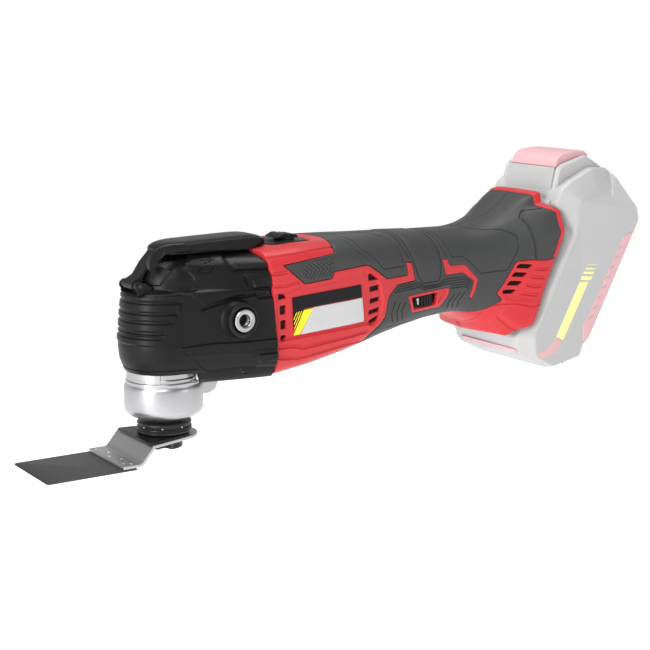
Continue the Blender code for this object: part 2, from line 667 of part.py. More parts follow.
# ---------------------------------------------------------------- controls

def make_controls():
    """Slide switch, speed dial, boards and the work light."""
    plate("slide_switch", [(67.2, 101.2), (67.2, 102.0), (70.0, 102.4), (73.0, 103.8), (78.0, 103.8),
                           (80.5, 102.6), (83.0, 101.9), (83.0, 101.2), (78.0, 101.2), (78.0, 92.8),
                           (72.0, 92.8), (72.0, 101.2)], -5.0, 5.0, BLACK)
    box("switch_module", (66.0, -7.0, 89.5), (96.0, 7.0, 92.4), BLACK)
    ring("speed_dial", 11.2, 2.4, 59.0, 65.5, BLACK, location=(DIAL_X, DIAL_Y, 0), facets=36)
    rod("dial_potentiometer", 2.0, (DIAL_X, DIAL_Y, 57.0), (DIAL_X, DIAL_Y, 70.0), STEEL, facets=12)
    box("control_board", (124.0, -3.0, 62.0), (136.0, -1.4, 88.0), BOARD)
    box("light_board", (26.6, -15.0, 34.0), (27.8, -3.9, 38.6), BOARD)
    rod("work_light", 2.6, (17.0, LIGHT_Y, LIGHT_Z), (24.6, LIGHT_Y, LIGHT_Z), CLEAR, facets=20)
    rod("lip_screw", 3.0, (LIP_SCREW_X, -24.0, LIP_SCREW_Z), (LIP_SCREW_X, -21.9, LIP_SCREW_Z), STEEL,
        facets=20)
    plate("label_plate", [(60.3, 52.9), (105.0, 55.8), (105.0, 76.8), (60.3, 73.9)], -34.0, -33.4,
          LABEL)


def make_fasteners():
    """The housing screws, driven from the right-hand side."""
    for number, (x, z) in enumerate(HOUSING_SCREWS, 1):
        seat = surface_y(x, z) - 3.1
        screw = rod(f"housing_screw_{number}", 3.0, (x, seat, z), (x, seat + 2.0, z), STEEL, facets=16)
        join(screw, rod(f"screw_shank_{number}", 1.5, (x, -16.0, z), (x, seat + 0.5, z), None,
                        facets=10))


def make_lever():
    """The clamping lever, its front strap and hinge barrel, and the hinge pin."""
    px, _, pz = LEVER_PIVOT
    arm = [(61.0, 100.6), (61.2, 101.9), (58.5, 103.6), (50.7, 105.3), (23.2, 104.5), (6.0, 103.4),
           (-4.0, 102.2), (-6.5, 100.6), (-1.0, 99.2), (6.0, 99.6), (30.0, 99.9), (52.0, 101.0)]
    strap = [(-3.0, 102.3), (-6.5, 101.0), (-13.0, 96.4), (-17.5, 90.0), (-20.0, 84.0),
             (-17.0, 82.0), (-14.6, 85.0), (-14.0, 89.0), (-10.8, 94.2), (-4.0, 99.4)]
    lever = plate("lever", [(x - px, z - pz) for x, z in arm], -13.0, 13.0, BLACK, LEVER)
    join(lever, plate("lever_strap", [(x - px, z - pz) for x, z in strap], -9.0, 9.0, None, LEVER),
         rod("lever_barrel", 2.9, (0, -9.0, 0), (0, 9.0, 0), None, LEVER, facets=20))
    cut(lever, rod("lever_bore", PIN_HOLE, (0, -20, 0), (0, 20, 0), None, LEVER, facets=16))
    rod("lever_pin", PIN_HOLE - GAP, (px, -12.9, pz), (px, 12.9, pz), STEEL, facets=16)


# ---------------------------------------------------------------- battery and its rails

def make_battery_rails():
    """The plate that closes the foot, with its two slide rails, terminals and their block."""
    octagon = [(-31.0, 163.0), (-22.0, 147.5), (22.0, 147.5), (31.0, 163.0), (29.5, 196.0),
               (19.0, 215.5), (-19.0, 215.5), (-29.5, 196.0)]
    rails = plate("rail_plate", octagon, 148.0, 150.4, BLACK, PACK, "YZ")
    for side in (-1, 1):
        near, far = sorted((side * 26.0, side * 30.0))
        web = box(f"rail_web_{side}", (150.0, near, 157.0), (164.4, far, 205.0), None, PACK)
        near, far = sorted((side * 21.0, side * 30.0))
        lip = box(f"rail_lip_{side}", (161.6, near, 157.0), (164.4, far, 205.0), None, PACK)
        join(rails, web, lip)
    cut(rails, box("terminal_opening", (145.0, -17.4, 192.6), (152.0, 17.4, 213.4), None, PACK))
    block = box("terminal_block", (143.0, -17.0, 193.0), (151.0, 17.0, 213.0), BLACK, PACK)
    for name, y in (("terminal_minus", -12.0), ("terminal_signal", 0.0), ("terminal_plus", 12.0)):
        box(name, (140.0, y - 0.4, 198.0), (159.6, y + 0.4, 208.0), COPPER, PACK)
        cut(block, box(name + "_slot", (138.0, y - 0.7, 197.7), (162.0, y + 0.7, 208.3), None, PACK))


PACK_FRONT = [(168.6, 141.0), (168.6, 214.0), (157.2, 221.5), (156.6, 232.0), (168.0, 240.5),
              (173.5, 253.0), (182.5, 258.4), (191.85, 255.0), (191.85, 133.7), (181.0, 133.5)]
PACK_REAR = [(192.15, 254.9), (212.5, 248.0), (217.2, 241.5), (217.2, 150.0), (199.0, 134.0),
             (192.15, 133.8)]


def make_battery():
    """Two-part case with its tower, cells, board, contacts and release button."""
    half = PACK_HALF_WIDTH
    front = round_edges(plate("battery_case_front", PACK_FRONT, -half, half, PACK_GREY, PACK), 2.5)
    hump = plate("button_hump", [(157.0, 226.0), (156.3, 246.0), (168.0, 259.6), (183.0, 259.4),
                                 (188.0, 250.0), (170.0, 232.0)], -23.0, 23.0, None, PACK)
    neck = box("tower_neck", (160.0, -20.4, 152.0), (170.5, 20.4, 222.0), None, PACK)
    tower = box("tower_head", (155.9, -25.0, 152.0), (160.9, 25.0, 224.0), None, PACK)
    join(front, hump, neck, tower)
    cut(front, box("case_hollow_front", (171.2, -35.3, 139.0), (200.0, 35.3, 238.0), None, PACK))
    rear = round_edges(plate("battery_case_rear", PACK_REAR, -half, half, PACK_GREY, PACK), 2.5)
    cut(rear, box("case_hollow_rear", (180.0, -35.3, 139.0), (214.6, 35.3, 241.0), None, PACK))
    for name, y in (("battery_contact_minus", -12.0), ("battery_contact_signal", 0.0),
                    ("battery_contact_plus", 12.0)):
        cut(front, box(name + "_slot", (150.0, y - 2.0, 148.0), (169.0, y + 2.0, 216.0), None, PACK))
        box(name, (158.0, y + 0.8, 196.0), (168.4, y + 1.6, 210.0), COPPER, PACK)
    button = [(154.4, 247.2), (152.9, 251.0), (155.0, 254.6), (169.6, 262.9), (174.5, 262.0),
              (166.5, 252.6)]
    pocket = [(150.0, 242.0), (150.0, 262.0), (169.0, 270.0), (180.0, 268.0), (177.6, 261.0),
              (164.6, 244.2), (158.0, 240.0)]
    cut(front, plate("button_pocket", pocket, -20.6, 20.6, None, PACK))
    round_edges(plate("battery_button", button, -20.0, 20.0, PACK_PINK, PACK), 0.8)
    make_cells()
    box("battery_board", (171.5, -28.0, 150.0), (172.9, 28.0, 230.0), BOARD, PACK)


def make_cells():
    """Ten round cells in two rows, held by end carriers."""
    carrier = box("battery_cells", (173.6, -31.0, 141.4), (210.8, -28.0, 235.6), CELL_WRAP, PACK)
    other = box("cell_carrier", (173.6, 28.0, 141.4), (210.8, 31.0, 235.6), None, PACK)
    join(carrier, other)
    for row in range(5):
        for column in range(2):
            v, w = 183.0 + 18.6 * column, 151.0 + 18.8 * row
            cell = rod(f"cell_{row}_{column}", 9.1, (v, -32.5, w), (v, 32.5, w), None, PACK, facets=12)
            join(carrier, cell)


make_housing(-1)
make_housing(1)
make_grip(-1)
make_grip(1)
make_head_cover()
make_lower_cover()
make_gear_case()
make_handle_insert(-1)
make_handle_insert(1)
make_spindle_set()
ring("spindle_bearing_lower", 14.0, 6.3, 12.6, 22.0, STEEL)
ring("spindle_bearing_upper", 12.0, 6.3, 68.5, 74.4, STEEL)
make_clamp_set()
make_motor()
make_rotor()
make_controls()
make_fasteners()
make_lever()
make_battery_rails()
make_battery()
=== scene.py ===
import math

import bmesh
import bpy
import numpy as np
from mathutils import Matrix, Vector
from mathutils.geometry import delaunay_2d_cdt


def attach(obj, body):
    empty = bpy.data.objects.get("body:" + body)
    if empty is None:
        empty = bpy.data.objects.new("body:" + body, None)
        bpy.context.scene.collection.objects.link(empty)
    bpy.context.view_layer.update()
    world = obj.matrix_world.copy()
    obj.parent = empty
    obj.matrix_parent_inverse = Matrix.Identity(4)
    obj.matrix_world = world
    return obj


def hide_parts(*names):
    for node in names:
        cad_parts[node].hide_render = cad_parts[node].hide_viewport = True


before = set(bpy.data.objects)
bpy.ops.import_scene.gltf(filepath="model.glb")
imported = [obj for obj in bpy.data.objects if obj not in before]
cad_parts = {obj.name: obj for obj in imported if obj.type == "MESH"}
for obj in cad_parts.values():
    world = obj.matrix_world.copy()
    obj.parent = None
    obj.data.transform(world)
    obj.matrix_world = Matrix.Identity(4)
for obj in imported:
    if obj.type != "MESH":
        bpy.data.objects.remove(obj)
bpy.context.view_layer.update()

MM = 0.001
LIFT = 5.5                     # world height of the design datum, the seat of the blade bracket
SIDES = ((-1, "left"), (1, "right"))

# ---------------------------------------------------------------- camera, light and floor

CAMERA_TURN, CAMERA_TILT = math.radians(-33.0), math.radians(10.99)
CAMERA_PLACE, LENS, SENSOR = (-0.3572, -0.7070, 0.2185), 84.57, 36.0
SKY = 0.22                     # brightness of the studio above its white sweep
SWEEP = (0.16, 0.42)           # heights between which the sweep fades into it
FLOOR_Z, FLOOR_GLOW = -0.16, 0.5
# name, place, target, size, power
LIGHTS = [
    ("key", (-0.50, -0.75, 0.90), (0.05, 0, 0.06), (0.5, 0.5), 5.5),
    ("fill", (0.85, -1.1, 0.35), (0.12, 0, 0.07), (0.5, 0.5), 1.6),
    ("top", (0.15, 0.25, 1.1), (0.12, 0, 0.05), (0.8, 0.4), 9.5),
    ("strip", (-0.95, -0.32, 0.30), (0, 0, 0.06), (0.22, 0.7), 8.5),
]


def make_camera():
    data = bpy.data.cameras.new("camera")
    data.lens, data.sensor_width = LENS, SENSOR
    data.clip_start, data.clip_end = 0.05, 20.0
    camera = bpy.data.objects.new("camera", data)
    bpy.context.scene.collection.objects.link(camera)
    back = Vector((math.sin(CAMERA_TURN) * math.cos(CAMERA_TILT),
                   -math.cos(CAMERA_TURN) * math.cos(CAMERA_TILT), math.sin(CAMERA_TILT)))
    right = Vector((math.cos(CAMERA_TURN), math.sin(CAMERA_TURN), 0.0))
    up = back.cross(right)
    turn = Matrix((right, up, back)).transposed().to_4x4()
    camera.matrix_world = Matrix.Translation(CAMERA_PLACE) @ turn
    bpy.context.scene.camera = camera


def area_light(name, place, target, size, power):
    data = bpy.data.lights.new(name, "AREA")
    data.shape, data.size, data.size_y, data.energy = "RECTANGLE", size[0], size[1], power
    lamp = bpy.data.objects.new(name, data)
    bpy.context.scene.collection.objects.link(lamp)
    lamp.location = place
    lamp.rotation_euler = (Vector(target) - Vector(place)).to_track_quat("-Z", "Y").to_euler()


def make_studio():
    world = bpy.data.worlds.new("studio")
    bpy.context.scene.world = world
    world.use_nodes = True
    nodes, links = world.node_tree.nodes, world.node_tree.links
    background = nodes["Background"]
    put(background, {"Color": (1.0, 1.0, 1.0, 1.0)})
    height = nodes.new("ShaderNodeSeparateXYZ")
    links.new(nodes.new("ShaderNodeTexCoord").outputs["Generated"], height.inputs["Vector"])
    sweep = nodes.new("ShaderNodeMapRange")
    put(sweep, {"From Min": SWEEP[0], "From Max": SWEEP[1], "To Min": 1.0, "To Max": SKY})
    links.new(height.outputs["Z"], sweep.inputs["Value"])
    links.new(sweep.outputs["Result"], background.inputs["Strength"])
    for name, place, target, size, power in LIGHTS:
        area_light(name, place, target, size, power)
    shape = bmesh.new()
    bmesh.ops.create_grid(shape, x_segments=24, y_segments=24, size=1.0)
    mesh = bpy.data.meshes.new("floor")
    shape.to_mesh(mesh)
    shape.free()
    floor = bpy.data.objects.new("floor", mesh)
    bpy.context.scene.collection.objects.link(floor)
    floor.location = (0.1, 0.0, FLOOR_Z)
    paper = finish("floor_paper", (0.97, 0.97, 0.97), 0.9, grain=0.05, mottle=0.0, specular=0.0)
    put(paper.node_tree.nodes["Principled BSDF"],
        {"Emission Color": (1.0, 1.0, 1.0, 1.0), "Emission Strength": FLOOR_GLOW})
    mesh.materials.append(paper)


# ---------------------------------------------------------------- materials

GLOSS_SPREAD = 0.08            # how far roughness varies to either side
BLOTCH = 14.0                  # size of the uneven colour, mm


def put(node, values):
    for socket, value in values.items():
        node.inputs[socket].default_value = value


def finish(name, colour, roughness, metallic=0.0, grain=0.6, grain_size=0.5, mottle=0.06, wear=0.0,
           stretch=(1.0, 1.0, 1.0), specular=0.5, coat=0.0):
    """A moulded, cast or brushed surface: grain in relief, uneven gloss and colour, and pale worn edges.

    grain is the relief in hundredths of a millimetre, grain_size its scale in millimetres.
    """
    made = bpy.data.materials.new(name)
    made.use_nodes = True
    nodes, links = made.node_tree.nodes, made.node_tree.links
    shader = nodes["Principled BSDF"]
    put(shader, {"Metallic": metallic, "Specular IOR Level": specular, "Coat Weight": coat,
                 "Coat Roughness": 0.25})
    place = nodes.new("ShaderNodeTexCoord")
    mapping = nodes.new("ShaderNodeMapping")
    put(mapping, {"Scale": stretch})
    links.new(place.outputs["Object"], mapping.inputs["Vector"])

    def noise(size_mm, detail, source):
        texture = nodes.new("ShaderNodeTexNoise")
        put(texture, {"Scale": 1.0 / (size_mm * MM), "Detail": detail})
        links.new(source.outputs[0 if source is mapping else "Object"], texture.inputs["Vector"])
        return texture

    fine, broad = noise(grain_size, 3.0, mapping), noise(BLOTCH, 2.0, place)
    gloss = nodes.new("ShaderNodeMapRange")
    put(gloss, {"To Min": max(0.03, roughness - GLOSS_SPREAD), "To Max": min(1.0,
        roughness + GLOSS_SPREAD)})
    links.new(fine.outputs["Fac"], gloss.inputs["Value"])
    links.new(gloss.outputs["Result"], shader.inputs["Roughness"])
    tint = nodes.new("ShaderNodeMix")
    tint.data_type = "RGBA"
    put(tint, {"A": (*[c * (1.0 - mottle) for c in colour], 1.0),
               "B": (*[min(1.0, c * (1.0 + mottle)) for c in colour], 1.0)})
    links.new(broad.outputs["Fac"], tint.inputs["Factor"])
    colour_out = tint.outputs["Result"]
    if wear > 0.0:
        geometry = nodes.new("ShaderNodeNewGeometry")
        edge = nodes.new("ShaderNodeMapRange")
        put(edge, {"From Min": 0.53, "From Max": 0.66, "To Max": wear})
        links.new(geometry.outputs["Pointiness"], edge.inputs["Value"])
        worn = nodes.new("ShaderNodeMix")
        worn.data_type = "RGBA"
        links.new(edge.outputs["Result"], worn.inputs["Factor"])
        links.new(colour_out, worn.inputs["A"])
        put(worn, {"B": (*[min(1.0, c * 1.6 + 0.12) for c in colour], 1.0)})
        colour_out = worn.outputs["Result"]
    links.new(colour_out, shader.inputs["Base Color"])
    bump = nodes.new("ShaderNodeBump")
    put(bump, {"Strength": 0.6, "Distance": grain * 0.01 * MM})
    links.new(fine.outputs["Fac"], bump.inputs["Height"])
    links.new(bump.outputs["Normal"], shader.inputs["Normal"])
    return made


RINGS = (0.05, 0.05, 1.0)      # turned round the spindle: fine rings stacked along Z
RED = finish("red_abs", (0.50, 0.026, 0.032), 0.44, grain=0.8, grain_size=0.6, mottle=0.05, wear=0.20,
             specular=0.3)
BLACK = finish("black_nylon", (0.0065, 0.0065, 0.007), 0.40, grain=1.2, grain_size=0.7, mottle=0.12,
    wear=0.10, specular=0.17)
RUBBER = finish("grip_rubber", (0.046, 0.047, 0.047), 0.50, grain=2.0, grain_size=0.55, mottle=0.10,
                wear=0.12, specular=0.22)
# painted shade: a near-black finish for sheets and discs that stand in for the shadow in deep hollows
SHADE_BLACK = finish("painted_shade_black", (0.006, 0.006, 0.006), 0.8, grain=0.5)
CAST = finish("cast_aluminium", (0.42, 0.42, 0.43), 0.34, 0.9, grain=1.0, grain_size=0.35, mottle=0.04)
TURNED = finish("turned_steel", (0.40, 0.40, 0.41), 0.34, 1.0, grain=1.0, grain_size=0.25, stretch=RINGS)
STEEL = finish("plain_steel", (0.50, 0.50, 0.51), 0.30, 1.0, grain=0.8, grain_size=0.4)
SPRING = finish("spring_steel", (0.50, 0.50, 0.52), 0.30, 1.0, grain=0.8, grain_size=0.4)
STAMPED = finish("stamped_steel", (0.47, 0.47, 0.47), 0.42, 1.0, grain=1.5, grain_size=0.8, wear=0.3,
                 stretch=(0.15, 1.0, 1.0))
BLACK_STEEL = finish("blackened_steel", (0.016, 0.016, 0.017), 0.36, 0.3, grain=1.0, grain_size=0.5,
                     wear=0.30, mottle=0.2, specular=0.3)
BLADE = finish("blade_steel", (0.012, 0.012, 0.013), 0.45, 0.1, grain=1.5, grain_size=0.6, wear=0.3,
               specular=0.22,
               stretch=(1.0, 0.12, 1.0), mottle=0.15)
COPPER = finish("plated_copper", (0.80, 0.42, 0.22), 0.30, 1.0, grain=0.6, grain_size=0.4)
BOARD = finish("solder_mask", (0.02, 0.16, 0.06), 0.35, grain=1.5, grain_size=0.9, mottle=0.3)
CELLS = finish("shrink_wrap", (0.08, 0.20, 0.45), 0.30, grain=1.2, grain_size=3.0, coat=0.3)
CLEAR = finish("clear_lens", (0.80, 0.84, 0.88), 0.08, grain=0.2, coat=0.5)
PACK_GREY = finish("pack_grey", (0.41, 0.41, 0.41), 0.50, grain=1.0, grain_size=0.7, mottle=0.03, wear=0.15)
PACK_PINK = finish("pack_pink", (0.63, 0.37, 0.39), 0.50, grain=0.8, grain_size=0.7, mottle=0.03)
PACK_YELLOW = finish("pack_yellow", (0.86, 0.80, 0.30), 0.45, grain=0.4, grain_size=0.6, mottle=0.03)
FOIL_GREY = finish("foil_grey", (0.48, 0.48, 0.48), 0.35, grain=0.4, grain_size=0.5, mottle=0.03)
FOIL_BLACK = finish("foil_black", (0.007, 0.007, 0.008), 0.45, grain=0.4, grain_size=0.5, specular=0.15)
FOIL_YELLOW = finish("foil_yellow", (0.95, 0.86, 0.01), 0.32, grain=0.4, grain_size=0.5, mottle=0.03)
WHITE_INK = finish("white_ink", (0.80, 0.80, 0.80), 0.45, grain=0.3)

CAD_FINISHES = {node: look for look, names in (
    (BLACK, "head_cover lower_cover lever slide_switch switch_module speed_dial motor_end_cap fan"),
    (BLACK, "rail_plate terminal_block"),
    (RED, "housing_left housing_right"),
    (RUBBER, "grip_left grip_right"),
    (CAST, "gear_case"),
    (STAMPED, "accessory_bracket"),
    (BLACK_STEEL, "collar clamp_bolt armature eccentric brush_left brush_right"),
    (BLADE, "saw_blade"),
    (COPPER, "commutator terminal_minus terminal_plus terminal_signal"),
    (COPPER, "battery_contact_minus battery_contact_plus battery_contact_signal"),
    (BOARD, "control_board light_board battery_board"),
    (CLEAR, "work_light"),
    (FOIL_GREY, "label_plate"),
    (PACK_GREY, "battery_case_front battery_case_rear"),
    (PACK_PINK, "battery_button"),
    (CELLS, "battery_cells"),
    (SPRING, "clamp_spring"),
    (TURNED, "handle_insert_left handle_insert_right"),
) for node in names.split()}
for node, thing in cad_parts.items():
    thing.data.materials.clear()
    thing.data.materials.append(CAD_FINISHES.get(node, STEEL))

# what a piece is: its finish, the body it rides on and its slot
TOOL_RED = RED, "tool", "red_plastic"
TOOL_BLACK = BLACK, "tool", "black_plastic"
# painted shade: pieces that stand in for the shadow in hollows
TOOL_SHADE_BLACK = SHADE_BLACK, "tool", "black_plastic"
TOOL_RUBBER = RUBBER, "tool", "grip_rubber"
TOOL_CAST = CAST, "tool", "cast_aluminium"
TOOL_TURNED = TURNED, "tool", "steel"
LEVER_BLACK = BLACK, "lever", "black_plastic"
HOLDER_BLACK = BLACK_STEEL, "spindle_set", "dark_steel"
CLAMP_BLACK = BLACK_STEEL, "clamp_set", "dark_steel"
PACK_CASE = PACK_GREY, "battery", "pack_grey"
PACK_TRIM = PACK_PINK, "battery", "pack_pink"

# ---------------------------------------------------------------- surfaces


class Surface:
    """A skin given as a table: s runs along it in mm, t to either side of its middle line in mm."""

    HALF = 120                 # table columns on either side of the middle line

    def __init__(self, stations, lines, nudge=((0.0, 0.0, 0.0),)):
        self.s = np.asarray(stations, float)
        self.nudge = np.asarray(nudge, float)
        self.reach = np.zeros(len(lines))
        self.table = np.zeros((len(lines), 2 * self.HALF + 1, 3))
        for i, line in enumerate(lines):
            arc = np.concatenate([[0], np.cumsum(np.linalg.norm(np.diff(line, axis=0), axis=1))])
            self.reach[i] = arc[-1] / 2
            even = np.linspace(0, arc[-1], 2 * self.HALF + 1)
            self.table[i] = np.column_stack([np.interp(even, arc, line[:, k]) for k in range(3)])
        normal = np.cross(np.gradient(self.table, axis=1), np.gradient(self.table, axis=0))
        self.normals = normal / (np.linalg.norm(normal, axis=2)[:, :, None] + 1e-12)

    def limit(self, s):
        return np.interp(s, self.s, self.reach)

    def at(self, points, height, side=1):
        """Places at (s, t) points, height off the surface."""
        s, t = points[:, 0], points[:, 1]
        inward = 1 - np.clip(t / self.limit(s), -1, 1) ** 2
        ahead, lift = (np.interp(s, self.nudge[:, 0], self.nudge[:, k]) * inward for k in (1, 2))
        s, t = s + ahead, t + lift
        i = np.clip(np.interp(s, self.s, np.arange(len(self.s))), 0, len(self.s) - 1.001)
        j = np.clip((t / self.limit(s) + 1) * self.HALF, 0, 2 * self.HALF - 0.001)
        i0, j0 = i.astype(int), j.astype(int)
        u, v = (i - i0)[:, None], (j - j0)[:, None]
        place, normal = [
            table[i0, j0] * (1 - u) * (1 - v) + table[i0 + 1, j0] * u * (1 - v)
            + table[i0, j0 + 1] * (1 - u) * v + table[i0 + 1, j0 + 1] * u * v
            for table in (self.table, self.normals)]
        normal = normal / np.linalg.norm(normal, axis=1)[:, None]
        return (place + normal * np.asarray(height).reshape(-1, 1)) * np.array([1, side, 1])


class Flat:
    """A flat face: s and t run along two directions from a corner."""

    def __init__(self, corner, along, across):
        self.corner = np.asarray(corner, float)
        self.along = np.asarray(along, float) / np.linalg.norm(along)
        across = np.asarray(across, float)
        self.across = across / np.linalg.norm(across)
        self.normal = np.cross(self.along, self.across)

    def limit(self, s):
        return np.full(np.shape(s), 1e6)

    def at(self, points, height, side=1):
        place = (self.corner + points[:, :1] * self.along + points[:, 1:] * self.across
                 + np.asarray(height).reshape(-1, 1) * self.normal)
        return place * np.array([1, side, 1])


def smoothed(stations, values, step, blur):
    """Values along a line, evenly spaced and softened, straight on beyond both ends."""
    pad = int(4 * blur / step) + 1
    even = np.arange(stations[0], stations[-1] + step / 2, step)
    out = even[0] - step * np.arange(pad, 0, -1), even[-1] + step * np.arange(1, pad + 1)
    kernel = np.exp(-0.5 * (np.arange(-pad, pad + 1) * step / blur) ** 2)
    kernel /= kernel.sum()
    columns = []
    for column in np.asarray(values, float).T:
        first = (column[1] - column[0]) / (stations[1] - stations[0])
        last = (column[-1] - column[-2]) / (stations[-1] - stations[-2])
        line = np.concatenate([column[0] + (out[0] - stations[0]) * first,
                               np.interp(even, stations, column),
                               column[-1] + (out[1] - stations[-1]) * last])
        columns.append(np.convolve(line, kernel, mode="valid"))
    return even, np.array(columns).T


# body sections: top x, z; bottom x, z; half width; squareness; rearward bulge of the sides
BODY = [
    (47.6, 98.6, 52.4, 30.0, 32.5, 5.0, 0.0),
    (70.0, 100.3, 74.5, 33.2, 33.0, 5.0, 0.0),
    (96.0, 100.2, 100.0, 38.0, 32.5, 4.5, 0.0),
    (110.0, 100.1, 114.0, 41.0, 31.5, 4.0, 0.0),
    (122.0, 99.9, 126.0, 43.2, 30.3, 3.4, 0.0),
    (138.5, 99.8, 141.5, 45.7, 28.5, 3.0, 0.0),
    (158.5, 99.2, 161.3, 48.4, 26.8, 2.6, 0.0),
    (177.5, 99.0, 178.0, 49.6, 26.2, 2.5, 0.0),
    (190.0, 98.8, 185.5, 48.0, 27.0, 2.5, 2.0),
    (203.0, 100.5, 190.5, 45.0, 28.8, 2.6, 5.0),
    (216.0, 105.0, 195.5, 42.5, 31.0, 2.8, 7.5),
    (228.0, 111.5, 200.0, 40.5, 34.0, 3.2, 9.5),
    (240.5, 118.5, 206.3, 37.7, 37.5, 4.5, 12.5),
]

# the rim of the foot, (across, up) from its middle: a raised top with a notch and cut corners
FOOT_RIM = [(0, 43.2), (19.6, 42.9), (22.6, 37.2), (33.4, 35.6), (37.6, 25.3), (37.6, -31.7),
    (30.2, -41.6), (0, -43.2)]
# how far features at the foot sit ahead of and above the middle line: s, ahead, up
FOOT_NUDGE = [(138, 0, 0), (147, 0.4, 3.2), (154, 0.4, 4.4), (162, -0.4, 3.8),
    (170, 0, 1.8), (176, 0, 0.6)]
FOOT_BLEND = (155.0, 172.0)    # where along the body its section turns from oval to that outline


def outline_reach(outline, angle):
    """Distance from the middle to an outline, in each direction."""
    reach = np.full(len(angle), 1e9)
    heading = np.column_stack([np.cos(angle), np.sin(angle)])
    for a, b in zip(np.array(outline), np.array(outline[1:])):
        run = b - a
        across = heading[:, 0] * run[1] - heading[:, 1] * run[0]
        across = np.where(np.abs(across) < 1e-9, 1e-9, across)
        out = (a[0] * run[1] - a[1] * run[0]) / across
        share = (a[0] * heading[:, 1] - a[1] * heading[:, 0]) / across
        hit = (share > -1e-6) & (share < 1 + 1e-6) & (out > 0)
        reach = np.where(hit, np.minimum(reach, out), reach)
    return reach


def body_surface():
    rows = np.array(BODY)
    middle = (rows[:, 0:2] + rows[:, 2:4]) / 2
    along = np.concatenate([[0], np.cumsum(np.linalg.norm(np.diff(middle, axis=0), axis=1))])
    stations, values = smoothed(along, rows, 1.0, 2.5)
    angle = np.radians(np.linspace(-90, 90, 481))
    lines = []
    rim = outline_reach(FOOT_RIM, angle)
    share = np.clip((stations - FOOT_BLEND[0]) / (FOOT_BLEND[1] - FOOT_BLEND[0]), 0, 1)
    share = share * share * (3 - 2 * share)
    for (top_x, top_z, low_x, low_z, half, power, bulge), cut_in in zip(values, share):
        up = np.array([top_x - low_x, 0, top_z - low_z])
        height = np.linalg.norm(up) / 2
        up /= 2 * height
        back = np.array([up[2], 0, -up[0]])
        c, s = np.abs(np.cos(angle)), np.abs(np.sin(angle))
        reach = ((c / half) ** power + (s / height) ** power) ** (-1 / power)
        reach = reach * (1 - cut_in) + rim * cut_in
        across, rise = reach * np.cos(angle), reach * np.sin(angle)
        centre = np.array([(top_x + low_x) / 2, 0, (top_z + low_z) / 2])
        lines.append(centre + rise[:, None] * up + across[:, None] * np.array([0, 1.0, 0])
                     + (bulge * (across / half) ** 4)[:, None] * back)
    return Surface(stations, lines, FOOT_NUDGE)


# ---------------------------------------------------------------- outlines in a surface's s and t


def softened(points, radius, least=12.0, most=0.45):
    """A closed outline with arcs of four points for its corners, apart from those that turn under least."""
    points = np.asarray(points, float)
    made = []
    for before, corner, after in zip(np.roll(points, 1, 0), points, np.roll(points, -1, 0)):
        a, b = before - corner, after - corner
        la, lb = np.linalg.norm(a), np.linalg.norm(b)
        turn = abs(math.pi - math.acos(np.clip(np.dot(a, b) / (la * lb + 1e-9), -1, 1)))
        if radius <= 0 or turn < math.radians(least):
            made.append(corner)
            continue
        reach = min(radius, most * la, most * lb)
        p, q = corner + a / la * reach, corner + b / lb * reach
        made += [(1 - u) ** 2 * p + 2 * u * (1 - u) * corner + u * u * q for u in (0, 0.33, 0.67, 1)]
    return np.array(made)


def evenly(points, step, closed):
    points = np.asarray(points, float)
    ends = np.vstack([points, points[:1]]) if closed else points
    made = []
    for a, b in zip(ends, ends[1:]):
        count = max(1, int(math.ceil(np.linalg.norm(b - a) / step)))
        made += [a + (b - a) * k / count for k in range(count)]
    if not closed:
        made.append(ends[-1])
    return np.array(made)


def shifted(points, distance, closed):
    """A line moved sideways to its left."""
    points = np.asarray(points, float)
    if closed:
        run = np.roll(points, -1, 0) - np.roll(points, 1, 0)
    else:
        run = np.gradient(points, axis=0)
    length = np.linalg.norm(run, axis=1)[:, None] + 1e-9
    return points + np.column_stack([-run[:, 1], run[:, 0]]) / length * distance


def gap_to(points, line, closed):
    """How far each point is from a line."""
    starts = line if closed else line[:-1]
    ends = np.roll(line, -1, 0) if closed else line[1:]
    best = np.full(len(points), 1e9)
    for a, b in zip(starts, ends):
        run = b - a
        size = float(run @ run) + 1e-12
        u = np.clip((points - a) @ run / size, 0, 1)
        best = np.minimum(best, np.sum((points - a - u[:, None] * run) ** 2, axis=1))
    return np.sqrt(best)


def within(points, outline):
    x, y = points[:, 0], points[:, 1]
    result = np.zeros(len(points), bool)
    for (x1, y1), (x2, y2) in zip(outline, np.roll(outline, -1, 0)):
        if y1 == y2:
            continue
        crossing = (y1 > y) != (y2 > y)
        result ^= crossing & (x < (x2 - x1) * (y - y1) / (y2 - y1) + x1)
    return result


def area_of(outline):
    x, y = outline[:, 0], outline[:, 1]
    return 0.5 * float(np.sum(x * np.roll(y, -1) - np.roll(x, -1) * y))


def to_world(places):
    return (np.asarray(places) + np.array([0, 0, LIFT])) * MM


def show(name, vertices, faces, kind, nodes=(), angle=35.0):
    """A piece of the visual model from vertices in millimetres. nodes are the CAD nodes that it replaces."""
    look, body, slot = kind
    mesh = bpy.data.meshes.new(name)
    mesh.from_pydata([tuple(v) for v in to_world(vertices)], [], [tuple(int(k) for k in f) for f in faces])
    mesh.update()
    shape = bmesh.new()
    shape.from_mesh(mesh)
    bmesh.ops.recalc_face_normals(shape, faces=shape.faces)
    shape.to_mesh(mesh)
    shape.free()
    mesh.shade_smooth()
    mesh.set_sharp_from_angle(angle=math.radians(angle))
    mesh.materials.append(look)
    piece = bpy.data.objects.new(name, mesh)
    bpy.context.scene.collection.objects.link(piece)
    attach(piece, body)
    if nodes:
        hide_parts(*nodes)
    return piece


SEAM = 0.12                    # half the parting gap between left and right pieces


